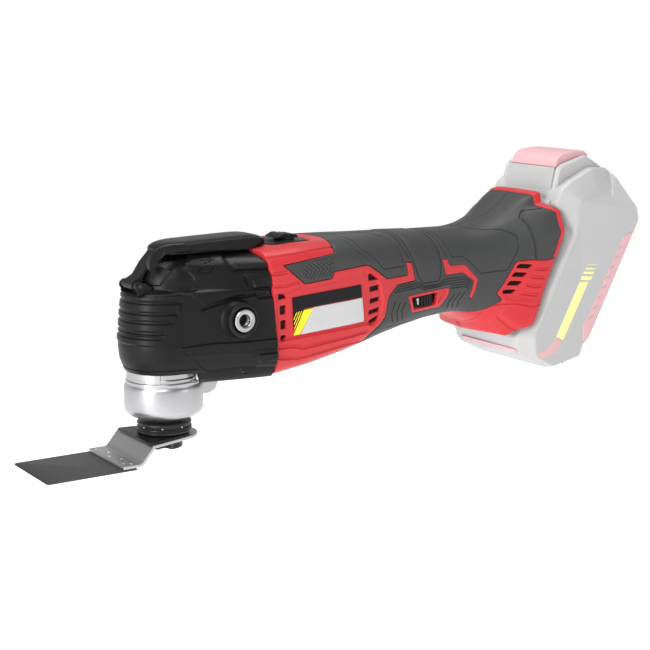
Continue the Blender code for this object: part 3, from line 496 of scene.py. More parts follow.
def guide_lines(rims, grooves, pads, edge):
    """The lines that a net follows, as (points, closed); closed is None for points with no edges between."""
    lines = [(rim, True) for rim in rims]
    if edge > 0:
        for number, rim in enumerate(rims):
            inward = edge if (area_of(rim) > 0) == (number == 0) else -edge
            lines += [(shifted(rim, inward * k, True), None) for k in (0.3, 1.0)]
    for line, width, _, closed in grooves:
        lines += [(shifted(line, width * k, closed), closed) for k in (-0.5, -0.2, 0.2, 0.5)]
    for loop, _, ramp in pads:
        inward = ramp if area_of(loop) > 0 else -ramp
        lines += [(loop, True), (shifted(loop, inward, True), True)]
    return lines


def net(rims, lines, spacing, edge):
    """Points and triangles that fill the first rim, leave the other rims empty and follow the lines."""
    def inside(points):
        kept = within(points, rims[0])
        for hole in rims[1:]:
            kept &= ~within(points, hole)
        return kept

    low, high = rims[0].min(0), rims[0].max(0)
    across = np.arange(low[0], high[0] + spacing, spacing)
    up = np.arange(low[1], high[1] + spacing, spacing * 0.87)
    grid = np.array([(x + (spacing / 2 if k % 2 else 0), y) for k, y in enumerate(up) for x in across])
    grid = grid[inside(grid)]
    for line, closed in lines:
        if len(grid) and closed is not None:
            grid = grid[gap_to(grid, line, bool(closed)) > spacing * 0.35]
    if edge > 0 and len(grid):
        for rim in rims:
            grid = grid[gap_to(grid, rim, True) > max(edge * 1.3, spacing * 0.5)]
    points, links = [], []
    for line, closed in lines:
        if closed is None:
            kept = line[inside(line)]
            for rim in rims:
                if len(kept):
                    kept = kept[gap_to(kept, rim, True) > edge * 0.22]
            points += list(kept)
            continue
        keep = np.ones(len(line), bool) if any(line is rim for rim in rims) else inside(line)
        index = {}
        for k, point in enumerate(line):
            if keep[k]:
                index[k] = len(points)
                points.append(point)
        pairs = [(k, k + 1) for k in range(len(line) - 1)] + ([(len(line) - 1, 0)] if closed else [])
        links += [(index[a], index[b]) for a, b in pairs if a in index and b in index]
    points += list(grid)
    made = delaunay_2d_cdt([Vector(p) for p in points], links, [], 0, 1e-4)
    flat = np.array([tuple(v) for v in made[0]])
    triangles = np.array([f for f in made[2] if len(f) == 3], int)
    triangles = triangles[inside(flat[triangles].mean(axis=1))]
    a, b, c = (flat[triangles[:, k]] for k in range(3))
    size = (b[:, 0] - a[:, 0]) * (c[:, 1] - a[:, 1]) - (b[:, 1] - a[:, 1]) * (c[:, 0] - a[:, 0])
    triangles = triangles[np.abs(size) > 1e-5]
    used = np.unique(triangles)
    renumber = np.full(len(flat), -1)
    renumber[used] = np.arange(len(used))
    return flat[used], renumber[triangles]


def heights(flat, rims, base, edge, grooves, pads):
    """How far each point of a net stands off its surface: rounded rims, sunken grooves and raised pads."""
    height = np.full(len(flat), float(base))
    if edge > 0:
        near = np.min([gap_to(flat, rim, True) for rim in rims], axis=0)
        u = np.clip(near / edge, 0, 1)
        height -= edge * (1 - np.sqrt(np.clip(1 - (1 - u) ** 2, 0, 1)))
    for line, width, deep, closed in grooves:
        away = gap_to(flat, line, closed)
        height -= deep * np.clip((width * 0.5 - away) / (width * 0.3), 0, 1)
    for loop, rise, ramp in pads:
        away = np.where(within(flat, loop), gap_to(flat, loop, True), 0.0)
        height += rise * np.clip(away / ramp, 0, 1)
    return height


def panel(name, surface, outline, kind, side=1, holes=(), base=0.0, depth=2.0, edge=0.5,
          grooves=(), pads=(), spacing=1.6, corner=0.8, nodes=(), relief=None, angle=35.0):
    """A closed moulded panel on a surface.

    grooves are (line, width, depth, closed); pads are (outline, height, ramp). relief gives a further
    height for each point. The panel's rim is rounded over edge.
    """
    def bounded(points):
        most = surface.limit(points[:, 0]) - SEAM
        return np.column_stack([points[:, 0], np.clip(points[:, 1], -most, most)])

    rims = [bounded(evenly(softened(loop, corner), spacing * 0.6, True)) for loop in (outline, *holes)]
    rims = [rim[np.linalg.norm(rim - np.roll(rim, 1, 0), axis=1) > 0.02] for rim in rims]
    grooves = [(evenly(softened(line, 1.0) if closed else line, spacing * 0.7, closed), width, deep, closed)
               for line, width, deep, closed in grooves]
    pads = [(evenly(softened(loop, 1.2), spacing * 0.7, True), rise, ramp) for loop, rise, ramp in pads]
    flat, triangles = net(rims, guide_lines(rims, grooves, pads, edge), spacing, edge)
    height = heights(flat, rims, base, edge, grooves, pads)
    if relief is not None:
        height += relief(flat)
    top = surface.at(flat, height, side)
    low = surface.at(flat, np.full(len(flat), base - depth), side)
    count = len(flat)
    faces = [tuple(f) for f in triangles] + [tuple(f[::-1] + count) for f in triangles]
    edges = {(int(f[k]), int(f[(k + 1) % 3])): True for f in triangles for k in range(3)}
    faces += [(b, a, a + count, b + count) for a, b in edges if (b, a) not in edges]
    return show(name, np.vstack([top, low]), faces, kind, nodes, angle)


def closed_rings(rows, count):
    """Faces of a solid through rows of points, each row a ring, with a cap on its first and its last."""
    faces = [(i * count + k, i * count + (k + 1) % count, (i + 1) * count + (k + 1) % count,
        (i + 1) * count + k) for i in range(rows - 1) for k in range(count)]
    return faces + [tuple(range(count)), tuple((rows - 1) * count + k for k in reversed(range(count)))]


def lathe(name, profile, centre, axis, kind, nodes=(), steps=72, angle=35.0):
    """A ring turned about an axis from a closed profile of (radius, distance along the axis)."""
    axis = np.asarray(axis, float)
    first = np.cross(axis, [0, 0, 1.0] if abs(axis[2]) < 0.9 else [1.0, 0, 0])
    first /= np.linalg.norm(first)
    second = np.cross(axis, first)
    vertices, count = [], len(profile)
    on_axis = profile[0][0] == 0 and profile[-1][0] == 0
    for k in range(steps):
        turn = 2 * math.pi * k / steps
        out = first * math.cos(turn) + second * math.sin(turn)
        vertices += [np.asarray(centre, float) + out * radius + axis * along for radius, along in profile]
    faces = []
    for k in range(steps):
        a, b = k * count, (k + 1) % steps * count
        for i in range(count if not on_axis else count - 1):
            j = (i + 1) % count
            if on_axis and i == 0:
                faces.append((0, a + 1, b + 1))
            elif on_axis and j == count - 1:
                faces.append((a + i, count - 1, b + i))
            else:
                faces.append((a + i, a + j, b + j, b + i))
    used = sorted({k for f in faces for k in f})
    renumber = {old: new for new, old in enumerate(used)}
    return show(name, [vertices[k] for k in used], [tuple(renumber[k] for k in f) for f in faces], kind,
        nodes, angle)


def bevelled(piece, width, segments=3, angle=30.0):
    edges = piece.modifiers.new("rounding", "BEVEL")
    edges.width, edges.segments = width * MM, segments
    edges.limit_method, edges.angle_limit = "ANGLE", math.radians(angle)
    return piece


def plate_piece(name, outline, low, high, kind, plane="XZ", bevel=0.4, nodes=(), corner=0.0):
    """A plate with rounded edges: its outline in a plane and its extent across it."""
    outline = softened(outline, corner)
    if plane == "XZ":
        vertices = [(x, y, z) for y in (low, high) for x, z in outline]
    else:
        vertices = [(x, y, z) for z in (low, high) for x, y in outline]
    piece = show(name, vertices, closed_rings(2, len(outline)), kind, nodes)
    return bevelled(piece, bevel) if bevel else piece


def tube_loft(name, stations, kind, nodes=(), around=48):
    """A closed body through superellipse sections: x, z middle, half width, half height, squareness."""
    vertices = []
    for x, z, half, tall, power in stations:
        for turn in np.linspace(0, 2 * math.pi, around, endpoint=False):
            c, s = math.cos(turn), math.sin(turn)
            reach = ((abs(c) / half) ** power + (abs(s) / tall) ** power) ** (-1 / power)
            vertices.append((x, reach * c, z + reach * s))
    return show(name, vertices, closed_rings(len(stations), around), kind, nodes)


SKIN = body_surface()

# ---------------------------------------------------------------- body: red housing and black grip

TOP = 90.0                     # beyond the parting line on top; clipped to it
LOW = -90.0
PAD_TIP = [(38.5, 17), (36.5, 13.4), (19.2, 13.8), (14.5, 18.6), (7.6, 26.2)]
FLAP_EDGE = [(18, 26.3), (31.6, 26.5), (41, 26.9), (42.2, 32.3), (44.6, 40.6), (48, 51),
    (49.0, TOP)]
RED_HOOK = [(52, LOW), (53, -45), (56, -33), (61, -24), (67.1, -19.5), (71.6, -15.3),
    (73.7, -6.7), (75, -3.4), (81.4, 1.6), (94.4, 1.8), (93, 12.2), (89, 13), (89.2, 5.6),
    (74, 6.2), (68, 11.4), (61.6, 16.2), (56, 16.6)]
FOOT_EDGE = [(174.9, 8.8), (163.4, 6.6), (155.8, 4.6), (149.7, -13.6), (154.9, -18.9), (149.1, -24.3),
    (143, -26.8), (131.8, -26.2), (125, -31), (118, -40), (116, LOW)]
INLAY = [(115.3, 10.9), (119.3, 10.8), (120.1, 6.7), (130.6, 6.4), (138.2, -1.9), (137.3, -14.1),
    (135.2, -13.2), (135.8, -3), (129.2, 1.7), (117.2, 1.4)]
DIAL_FRAME = [(88.6, -6.2), (119.4, -6), (119.4, -9.8), (114.4, -17.9), (92.6, -17)]
DIAL_WINDOW = [(91.4, -7.7), (111, -7.6), (110.8, -15.4), (93.8, -15.2)]
RED_RECESS = [(0.4, 12.9), (8.4, 11.8), (16.6, 13), (19, 11.9), (57, 12), (60.4, 14.4),
    (61, 12.6), (69.4, 5.4), (71.2, -5), (69, -14.6), (63.5, -19), (58.5, -16.8), (10.7, -14.6),
    (0.4, -14.1)]
FRONT_VENTS = [
    [(3.1, 11.4), (6.6, 10.7), (8.2, 8.4), (3, 8.2)],
    [(3.6, 4.9), (7.4, 4.8), (7, 0), (3.4, 0.2)],
    [(3.4, -3), (6.9, -3.1), (6.5, -7.9), (3.2, -7.7)],
    [(2.9, -10.9), (6.6, -11.4), (4.6, -14), (2.8, -13.9)],
]
REAR_VENTS = [
    [(61.6, 11.6), (63.4, 11.4), (68.4, 6.9), (61.6, 7.4)],
    [(62.2, 4), (68.9, 3.9), (69, 0.9), (62, 1.1)],
    [(61.8, -2.8), (68.8, -2.7), (68.8, -5.1), (61.6, -5.5)],
    [(60.6, -9.2), (68.5, -8.6), (68.4, -11.2), (60.4, -11.6)],
    [(60.4, -15), (68, -13), (66.4, -16.6), (61, -17.6)],
]
FOOT_PITCH = 5.2               # from one vent of the foot, and one rib beside it, to the next
FOOT_VENTS = [[(157.2 - 1.3 * k, 3.3 - FOOT_PITCH * k), (162.6 - 1.1 * k, 3.6 - FOOT_PITCH * k),
    (161.4 - 1.1 * k, 0.9 - FOOT_PITCH * k), (156.0 - 1.3 * k, 0.7 - FOOT_PITCH * k)] for k in range(3)]
FOOT_VENTS.append([(152.1, -12.4), (159, -12), (157.8, -14.6), (153.4, -14.8)])
TOP_SCREW = (152.5, 27.0)


def round_hole(centre, radius, count=16):
    return [(centre[0] + radius * math.cos(2 * math.pi * k / count),
             centre[1] + radius * math.sin(2 * math.pi * k / count)) for k in range(count)]


SCREW_HOLES = [round_hole(place, 3.5) for place in ((27.6, -26), (53.6, 28.5), (80.6, -15.6),
    (128.0, -13.0), TOP_SCREW)]


def make_red_shell(side, where):
    flap_and_panel = [(0.0, LOW), *RED_HOOK, *PAD_TIP, *FLAP_EDGE, (0.0, TOP)]
    switch_slot = [(8, 99), (9, 55), (12.5, 45.4), (36, 44.6), (38, 48), (38, 99)]
    creases = [
        ([(0, 32), (20, 31), (43, 31.4)], 2.4, 0.8, False),
        ([(0, 22.6), (9.5, 22)], 2.2, 0.8, False),
        ([(0, 16.2), (8, 15), (16, 15.6)], 1.8, 0.6, False),
        ([(0, -16.8), (12, -18.4), (16, -20.4), (46, -20.6), (58, -20.8)], 2.4, 0.9, False),
        ([(0, -22.5), (14, -26), (46, -25.8), (56, -27.5)], 2.6, 0.9, False),
    ]
    panel(f"body_red_{where}", SKIN, flap_and_panel, TOOL_RED, side,
          holes=FRONT_VENTS + REAR_VENTS + (SCREW_HOLES[:2] if side > 0 else []),
          depth=3.0, edge=0.55, grooves=creases,
          pads=[(RED_RECESS, -1.1, 1.3), (switch_slot, -0.8, 0.8)],
          nodes=(f"housing_{where}",))


def make_grip(side, where):
    outline = [(49.3, TOP), *reversed([(s + 0.25, t) for s, t in FLAP_EDGE[1:-1]]), (31.6, 26.3),
        (18, 26), (8.3, 25.9), (14.8, 18.8), (19.4, 14.1), (36.3, 13.7), (38.3, 17.3), (56, 16.9),
        (61.7, 16.5), (68.2, 11.7), (74.1, 6.5), (88.9, 5.9), (88.7, 13.3), (93.2, 12.5), (94.7, 1.5),
        (81.5, 1.3), (75.3, -3.6), (74, -6.7), (71.9, -15.4), (67.3, -19.8), (61.2, -24.3), (56.3, -33.3),
        (53.3, -45.0), (52.3, LOW), (115.7, LOW), *reversed([(s - 0.3, t + 0.1) for s,
        t in FOOT_EDGE[1:-1]]), (174.9, 9.1), (174.9, TOP)]
    lines = [([(60, 99), (58.6, 50), (58.4, 37.7), (59, 27), (65.7, 19.9), (72.1, 12.1),
        (86.5, 11.1), (86.4, 22.4), (83, 31.4), (79, 45), (78, 99)], 0.7, 0.45, False),
        ([(55, 99), (53.6, 50), (53.8, 36), (55.5, 26), (61.5, 19.8), (63, 18.4)], 0.6, 0.35,
        False),
        ([(89, 99), (89.8, 40), (88.9, 22.9), (91.5, 15)], 1.1, 0.6, False),
        ([(91.2, 99), (92.2, 32), (92.3, 21.4), (93.9, 13.5), (96.6, 4), (99, 0.2), (101, -0.8),
        (111.5, -1), (113, 1.5), (114.2, 8.2), (114.1, 16.5), (112.9, 28.7), (110.5, 45),
        (110.0, 99.0)], 0.8, 0.6, False),
        ([(113.4, 99), (114, 45), (116.1, 29), (117.2, 19.8), (118.6, 13)], 1.1, 0.6, False),
        ([(118.2, 99), (117.8, 45), (119, 30), (120.6, 19), (122.6, 11.4), (130.2, 10.9),
        (139.5, 1), (151.6, -0.1), (156.3, 12), (156.5, 20.3), (152, 26.5), (145.2, 29.7),
        (140.9, 34), (139.5, 45), (139, 99)], 0.8, 0.5, False),
        ([(163, 8), (161.4, 20), (160.4, 34), (163, 42), (170, 44.5)], 1, 0.8, False)]
    for k in range(5):
        drop = 1.45 * k
        if k < 3:
            line = [(82.0 - 1.5 * k, 0.2 - drop * 0.9), (97.0, 0.2 - drop * 0.9),
                (101, -2.6 - drop * 0.6), (112, -2.6 - drop * 0.6), (116, -0.6 - drop),
                (130.6 + 0.4 * k, -0.6 - drop), (134.0, -3.6 - drop)]
        else:
            line = [(121.5, -0.6 - drop), (130.6 + 0.4 * k, -0.6 - drop), (133.4, -3.6 - drop)]
        lines.append((line, 0.75, 0.5, False))
    for k in range(3):
        lines.append(([(78.6 + 3.9 * k, -8.6 - 0.8 * k), (76.2 + 4.0 * k, -14.0), (78.2 + 4.0 * k, -20.0)],
                      0.9, 0.6, False))
        lines.append(([(124.4 + 3.6 * k, -10.8 + 0.6 * k), (121.0 + 3.8 * k, -15.5),
            (122.6 + 3.8 * k, -20.6)], 0.9, 0.6, False))
    for k in range(4):
        drop = 4.6 * k
        lines.append(([(76.0 + 3.0 * k, -23.0 - drop), (100.0, -25.0 - drop),
            (122.0 - 3.0 * k, -23.6 - drop)], 0.8, 0.5, False))
    thumb_rest = [(97.5, -1), (94.4, 13.5), (93, 32), (92, 99), (109.5, 99), (112.4, 28.7),
        (113.6, 16), (113.5, 8), (111.5, -0.6)]
    holes = [INLAY, DIAL_FRAME] if side < 0 else [INLAY, *SCREW_HOLES[2:]]
    panel(f"body_grip_{where}", SKIN, outline, TOOL_RUBBER, side, holes=holes, base=0.15,
          depth=2.4, edge=0.5, grooves=lines, pads=[(thumb_rest, 0.35, 1.2)], nodes=(f"grip_{where}",))
    panel(f"body_inlay_{where}", SKIN, INLAY, TOOL_RED, side, base=0.0, depth=2.4,
          edge=0.45, spacing=1.2)
    pad = [(20, 24.2), (36.6, 24.4), (38, 21.3), (36, 14.8), (19.8, 15.4), (16.4, 19.6)]

    def ripple(points):
        """Chevrons in relief."""
        lean = 0.55 * 2.0 * np.abs((points[:, 1] + 40) % 8.0 - 4.0)
        return 0.38 * np.sin((points[:, 0] + lean) * 2 * math.pi / 2.5)

    panel(f"grip_pad_{where}", SKIN, pad, TOOL_RUBBER, side, base=0.55, depth=0.9, edge=0.3, spacing=0.5,
          relief=ripple, angle=60.0)
    if side < 0:
        panel("dial_frame", SKIN, DIAL_FRAME, TOOL_RED, side, holes=[DIAL_WINDOW], base=0.35, depth=2.6,
            edge=0.4, spacing=1, pads=[([(111.8, -7), (118.6, -6.9), (118.4, -9.6), (112, -16.2)],
            -0.9, 0.8)])


def make_foot(side, where):
    ribs = [([(164.6 - 0.9 * k, 1.6 - FOOT_PITCH * k), (171.0 - 0.5 * k, 1.8 - FOOT_PITCH * k)], 2.2, 0.8,
        False) for k in range(4)]
    lines = [
        ([(153, -22), (160, -20.5), (168, -21), (176, -20)], 1, 0.5, False),
        ([(157, -24), (159, -31), (166, -38), (176, -43)], 0.9, 0.4, False),
        ([(149, -26.5), (152, -34), (154, -50), (154, -99)], 0.9, 0.4, False),
    ]
    panel(f"body_foot_{where}", SKIN, [*FOOT_EDGE, (174.9, LOW)], TOOL_RED, side, holes=FOOT_VENTS,
        depth=3, edge=0.5, grooves=ribs + lines, pads=[([(154, -16.8), (164, -17.4), (176.5, -16.5),
        (176.5, -40), (168, -37), (158, -30), (155.5, -23)], 0.8, 1.6)])
    rim = [(171.8, 9.2), (171.4, 40), (169.4, 50), (169.4, 99), (175.2, 99), (175.2, 9.2)]
    panel(f"foot_rim_{where}", SKIN, rim, TOOL_RED, side, base=0.9, depth=3.0, edge=0.5,
          spacing=1.1, corner=0.0)
    tray = [(9.6, 99), (10.6, 56), (13.4, 46.8), (35, 46), (37, 49), (37, 99)]
    panel(f"switch_tray_{where}", SKIN, tray, TOOL_BLACK, side, base=0.1, depth=1.2, edge=0.3,
          spacing=1.6, corner=0.5)


def make_vent_shade_backs(side, where):
    """Dark sheets behind the slots: painted shade, so that the inside looks deep."""
    backs = [
        ("front", [(1, 13.5), (9.6, 13.5), (9.6, -15.4), (1, -15.4)]),
        ("rear", [(59, 13.6), (70.4, 13.6), (70.4, -19), (59, -19)]),
        ("foot", [(150, 5), (167, 5), (166, -18), (149.6, -18)]),
    ]
    for name, outline in backs:
        # painted shade: a near-black sheet below the skin behind each group of slots
        panel(f"vent_shade_back_{name}_{where}", SKIN, outline, TOOL_SHADE_BLACK, side, base=-3.4,
              depth=0.8, edge=0.0, spacing=2.0)


def make_label(side, where):
    """Printed foil: a black header over a grey field, a yellow stripe and yellow slashes, with no words."""
    header = [(11.3, 8), (55.8, 6.6), (56.1, -0.4), (24, 0.6), (17.8, 0.6), (14.6, -3.6), (10.9, -9.6)]
    stripe = [(17.9, -0.2), (23.6, -0.2), (14.3, -12.5), (10.7, -12.4)]
    field = [(24.1, 0.2), (56.2, -0.9), (56.7, -14.2), (14.8, -12.8)]
    for name, outline, look in (("header", header, FOIL_BLACK), ("stripe", stripe, FOIL_YELLOW),
                                ("field", field, FOIL_GREY)):
        panel(f"label_{name}_{where}", SKIN, outline, (look, "tool", "label_foil"), side, base=-0.6,
            depth=0.5, edge=0.12, corner=0.3, spacing=2.2,
            nodes=("label_plate",) if side < 0 and name == "field" else ())
    for k in range(3):
        start = -8.6 + 2.5 * k
        run = (-0.2 - start) / 1.69
        slash = [(11.15, start - 0.6), (11.15, start), (11.15 + run, -0.2), (11.5 + run, -0.2)]
        panel(f"label_slash_{k}_{where}", SKIN, slash, (FOIL_YELLOW, "tool", "label_foil"), side,
            base=-0.45, depth=0.3, edge=0.0, corner=0.0, spacing=1.0)


# ---------------------------------------------------------------- head cover

# levels of the head: z; half width at the front arc, the middle and the rear; front x
HEAD_ROWS = [
    (36.9, 20.2, 25.0, 29.5, -20.2),
    (39.0, 21.2, 27.0, 32.0, -21.2),
    (44.0, 22.9, 29.5, 33.2, -22.9),
    (51.0, 23.5, 30.3, 33.2, -23.5),
    (60.0, 22.6, 30.0, 32.8, -22.6),
    (70.0, 21.7, 29.3, 32.3, -21.7),
    (79.0, 20.5, 28.0, 31.3, -20.5),
    (80.6, 19.0, 27.2, 30.8, -12.5),
    (86.0, 18.6, 25.0, 30.6, -12.0),
    (92.0, 16.5, 21.5, 27.6, -9.5),
    (95.6, 12.0, 16.5, 21.0, -5.0),
    (97.6, 2.0, 4.0, 8.0, -3.0),
]


def head_surface():
    """s climbs the nose from the lower lip; t runs round it, to the left side and as -t to the right."""
    rows = np.array(HEAD_ROWS)
    climb = np.hypot(np.diff(rows[:, 0]), np.diff(rows[:, 4]))
    stations, values = smoothed(np.concatenate([[0], np.cumsum(climb)]), rows, 0.5, 0.7)
    lines = []
    for z, front, middle, rear, front_x in values:
        front, middle, rear = max(front, 0.5), max(middle, 0.6), max(rear, 0.5)
        centre = front_x + front
        rear_x = 49.75 + (64.3 - z) * 0.07
        u = np.linspace(1, 0, 60)
        width = front * (1 - u) * (1 - 2 * u) + middle * 4 * u * (1 - u) + rear * u * (2 * u - 1)
        x = centre + (rear_x - centre) * u
        around = np.radians(np.linspace(90, 270, 61))[1:-1]
        near = np.column_stack([x, width, np.full(60, z)])
        nose = np.column_stack([centre + front * np.cos(around), front * np.sin(around), np.full(59, z)])
        lines.append(np.vstack([near, nose, (near * [1, -1, 1])[::-1]]))
    return Surface(stations, lines)


HEAD = head_surface()


def both_sides(features):
    """Each feature and its mirror image over the middle line."""
    made = []
    for feature in features:
        line = [(s, -t) for s, t in feature[0]]
        made += [feature, (line, *feature[1:])]
    return made


def make_side_boss(side, where):
    """Boss on the flank with the threaded insert for a side handle."""
    centre, out = (29.5, 0.0, 65.0), (0, side, 0)
    lathe(f"side_boss_{where}", [(6.5, 23), (6.5, 34.6), (7.2, 35.5), (8.2, 35.5), (8.9, 34.9),
        (9.1, 33.4), (9.2, 31.2), (10.2, 29.8), (10.9, 28.6), (11.2, 26), (8, 24)], centre, out,
        TOOL_BLACK)
    thread = [point for k in range(9) for point in ((3.3, 34.4 - 1.25 * k), (3.85, 33.8 - 1.25 * k))]
    lathe(f"side_insert_{where}", [(3.9, 36.4), (4.4, 36.5), (5.5, 36.5), (5.95, 36.1), (5.95, 22),
        (3.3, 22), *reversed(thread), (3.3, 35.8)], centre, out, TOOL_TURNED, (f"handle_insert_{where}",))


def make_head():
    bands = [(39.4, 42.4, 35.6, 34.6), (34, 38.7, 33, 34.4), (29.5, 33.2, 31.3, 32.6),
        (24, 28.6, 27.6, 30.8), (21.5, 23.1, 26, 27), (16.5, 20.6, 23.8, 25.6)]
    pads = [([(low, -wide_low), (low, wide_low), (high, wide_high), (high, -wide_high)], 0.75, 0.9)
            for low, high, wide_low, wide_high in bands]
    pads += both_sides([([(70.8, 19), (70.8, 37.5), (66.5, 43.2), (59.5, 51.1), (56.5, 58.3),
        (52.5, 60.2), (41.6, 68.8), (40.2, 60.6), (36.6, 46), (41, 39), (50, 35), (57, 31),
        (64.0, 22.0)], 1.0, 0.9),
        ([(53.4, 7), (53.4, 14.4), (62, 18.4), (64.8, 7.4)], 0.8, 0.7),
        ([(61.4, 52), (65.6, 47.5), (65.6, 99), (61.4, 99)], 0.9, 0.8),
        ([(50, 64.5), (54.4, 62.4), (58, 55), (58.8, 99), (50, 99)], 1.1, 0.9),
        ([(38, 74), (46, 70), (46, 99), (38, 99)], -1.2, 1.4),
        ([(11, 38), (12, 57.3), (10.4, 99), (16.9, 99), (17, 65.7), (17.4, 51.4), (15.6, 34.4)],
        0.9, 0.8),
        ([(0, 46), (4, 43.6), (9.8, 41.2), (10.4, 57), (9.4, 73), (-2, 73)], -0.7, 0.9),
        ([(4.2, 75), (9.4, 76.4), (9.8, 99), (4, 99)], 0.9, 1)])
    grooves = both_sides([
        ([(34.6, 44.8), (39.2, 60.6), (40.6, 70), (41.2, 79)], 1.7, 1.3, False),
        ([(43.4, 99), (43.6, 76)], 0.9, 0.6, False),
        ([(60, 52.5), (60.1, 99)], 1.2, 0.9, False),
        ([(48.6, 66), (49, 99)], 1.2, 0.8, False),
        ([(3, 14), (3.2, 30), (3, 42)], 0.8, 0.4, False),
        ([(66.6, 29.6), (66.6, 35.4)], 0.9, 0.35, False),
        ([(68.2, 33.4), (66.6, 36.6), (65, 34)], 0.9, 0.35, False),
        ([(62.6, 33), (62.8, 39.6), (59.4, 38.8), (59.2, 32.4)], 0.8, 0.35, True),
        ([(61, 34.4), (61.2, 37.4)], 0.7, 0.35, False),
    ])
    grooves.append(([(3, -14), (3, 14)], 0.8, 0.4, False))
    panel("head_shell", HEAD, [(0, -99), (0, 99), (71.3, 99), (71.3, -99)], TOOL_BLACK,
        base=0.0, depth=1.8, edge=0.6, corner=0.0, spacing=1.35, grooves=grooves, pads=pads,
        nodes=("head_cover",), angle=38.0)
    for side, where in SIDES:
        make_side_boss(side, where)
        plate_piece(f"lever_ear_{where}", [(-9.4, 78.6), (-10.6, 82.4), (-14.4, 85), (-17.6, 85),
            (-19.4, 83.6), (-19.6, 81.6), (-18.6, 80.2), (-18.8, 78.6)], *sorted((side * 9.2, side * 10.4)),
            TOOL_BLACK, bevel=0.3)
    roof = [(-2.4, 2.6), (20, 5.8), (49.5, 9.8)]
    plate_piece("head_roof", roof + [(x, -y) for x, y in reversed(roof)], 96.2, 97.55, TOOL_BLACK, "XY",
        bevel=0.3)
    lathe("hinge_pin", [(0, -10.7), (0.9, -10.7), (1.1, -10.5), (1.1, 10.5), (0.9, 10.7), (0, 10.7)],
        (-17, 0, 83.4), (0, 1, 0), (BLACK_STEEL, "tool", "steel"), ("lever_pin",), steps=32)


def make_lever():
    """Crowned lever with deep flanks, its strap down to the pin and a curved cheek at the left of its front.
    """
    keys = [(-5.6, 100.6, 4.4, 0.8), (-4.2, 100.8, 6.8, 1.8), (-1, 101, 9, 2.7),
        (3, 101.4, 11.2, 2.9), (8, 101.6, 13, 3), (20, 101.9, 13.6, 3),
        (36, 102.1, 13.6, 3.2), (46, 102.2, 13.6, 3.3), (50, 102.2, 13.2, 3.2),
        (54, 102, 11.8, 2.8), (57, 101.5, 9.6, 2.2), (58.6, 101.2, 7.4, 1.5), (59.2, 101, 6.4, 1)]
    along = [k[0] for k in keys]
    stations = []
    for x in np.linspace(along[0], along[-1], 70):
        z, half, tall = (float(np.interp(x, along, [k[i] for k in keys])) for i in (1, 2, 3))
        stations.append((float(x), z, half, tall, 3.4))
    tube_loft("lever_arm", stations, LEVER_BLACK, ("lever",))
    outer = [(1, 103.8), (-3.6, 101.8), (-6, 98.6), (-10, 94.4), (-14.4, 88), (-18.6, 85.6),
        (-20, 83.6), (-19.4, 81.4), (-17, 80.6), (-14.8, 81.6), (-13.9, 83.4)]
    inner = [(-13.2, 86.4), (-12.5, 88.2), (-9.6, 92.4), (-6, 97), (-1, 99.6)]
    plate_piece("lever_strap", outer + inner, -5.2, 5.2, LEVER_BLACK, bevel=0.4, corner=0.8)
    plate_piece("lever_knuckle", [(-17.0 + 2.3 * math.cos(0.35 * k), 83.2 + 2.3 * math.sin(0.35 * k))
                                  for k in range(18)], -8.9, 8.9, LEVER_BLACK, bevel=0.4)
    flank = [(5, 101.4), (8, 100.2), (16, 99.7), (26, 99.3), (38, 98.5), (45, 98.2),
        (49.6, 99.7), (52.4, 102.4), (48, 104.3), (30, 104.2), (12, 103.6), (6, 102.8)]
    hook = [(8, 104), (0, 104.2), (-6, 103.6), (-10.4, 101.8), (-12.9, 99.2), (-13.9, 95.5),
        (-13.5, 92.5), (-12.4, 90.8), (-11, 91.4), (-9.8, 94), (-7.6, 97.4), (-3.6, 99.9), (5, 100.3),
        (12.0, 101.0)]
    plate_piece("lever_hook", hook, -14.2, -10.8, LEVER_BLACK, bevel=1.1, corner=1.2)
    for side, where in SIDES:
        plate_piece(f"lever_flank_{where}", flank, *sorted((side * 11.4, side * 13.7)), LEVER_BLACK,
            bevel=0.8, corner=1.2)


# ---------------------------------------------------------------- gear neck, tool holder and accessory

UP = (0, 0, 1)
DIAL, DIAL_RADIUS = (151.5, -15.4), 11.2


def ring_sector(radius, depth, start, end, count=14):
    """Outline in plan of part of a ring, between two bearings in degrees."""
    turns = [math.radians(start + (end - start) * k / count) for k in range(count + 1)]
    return ([(radius * math.cos(a), radius * math.sin(a)) for a in turns]
            + [((radius - depth) * math.cos(a), (radius - depth) * math.sin(a)) for a in reversed(turns)])


def make_neck():
    """Cast neck with its bead rings and bulging cup."""
    lathe("gear_neck", [(15.6, 50), (18.7, 50), (18.7, 34.6), (19.2, 34.2), (19.6, 33.7), (19.5, 33.2),
        (19.2, 32.9), (19.2, 32.5), (19.8, 32.1), (20.1, 31.5), (19.9, 30.9), (19.8, 30.4), (20.3, 29.6),
        (20.8, 28.6), (21, 27.2), (21, 17.2), (20.8, 16), (20.2, 14.8), (19.2, 13.7), (17.9, 12.9),
        (16.4, 12.4), (14.9, 12.2), (14.2, 12.6), (12.3, 12.8), (12.3, 24), (15.6, 26)],
        (0.0, 0.0, 0.0), UP, TOOL_CAST, ("gear_case",), steps=120, angle=50.0)
    plate_piece("neck_land_front", ring_sector(19.5, 3.0, -200.0, -121.0), 32.0, 37.4, TOOL_CAST, "XY",
        bevel=0.35)
    plate_piece("neck_step", ring_sector(19.1, 2.4, -120.6, -112.5, 4), 31.6, 37.4, TOOL_CAST, "XY",
        bevel=0.3)
    plate_piece("neck_rib_cast", [(16, 20), (20.2, 20.6), (26, 20.5), (29.6, 22), (31.4, 25.6),
        (32, 31), (16, 31)], -3, 3, TOOL_CAST, bevel=0.9)


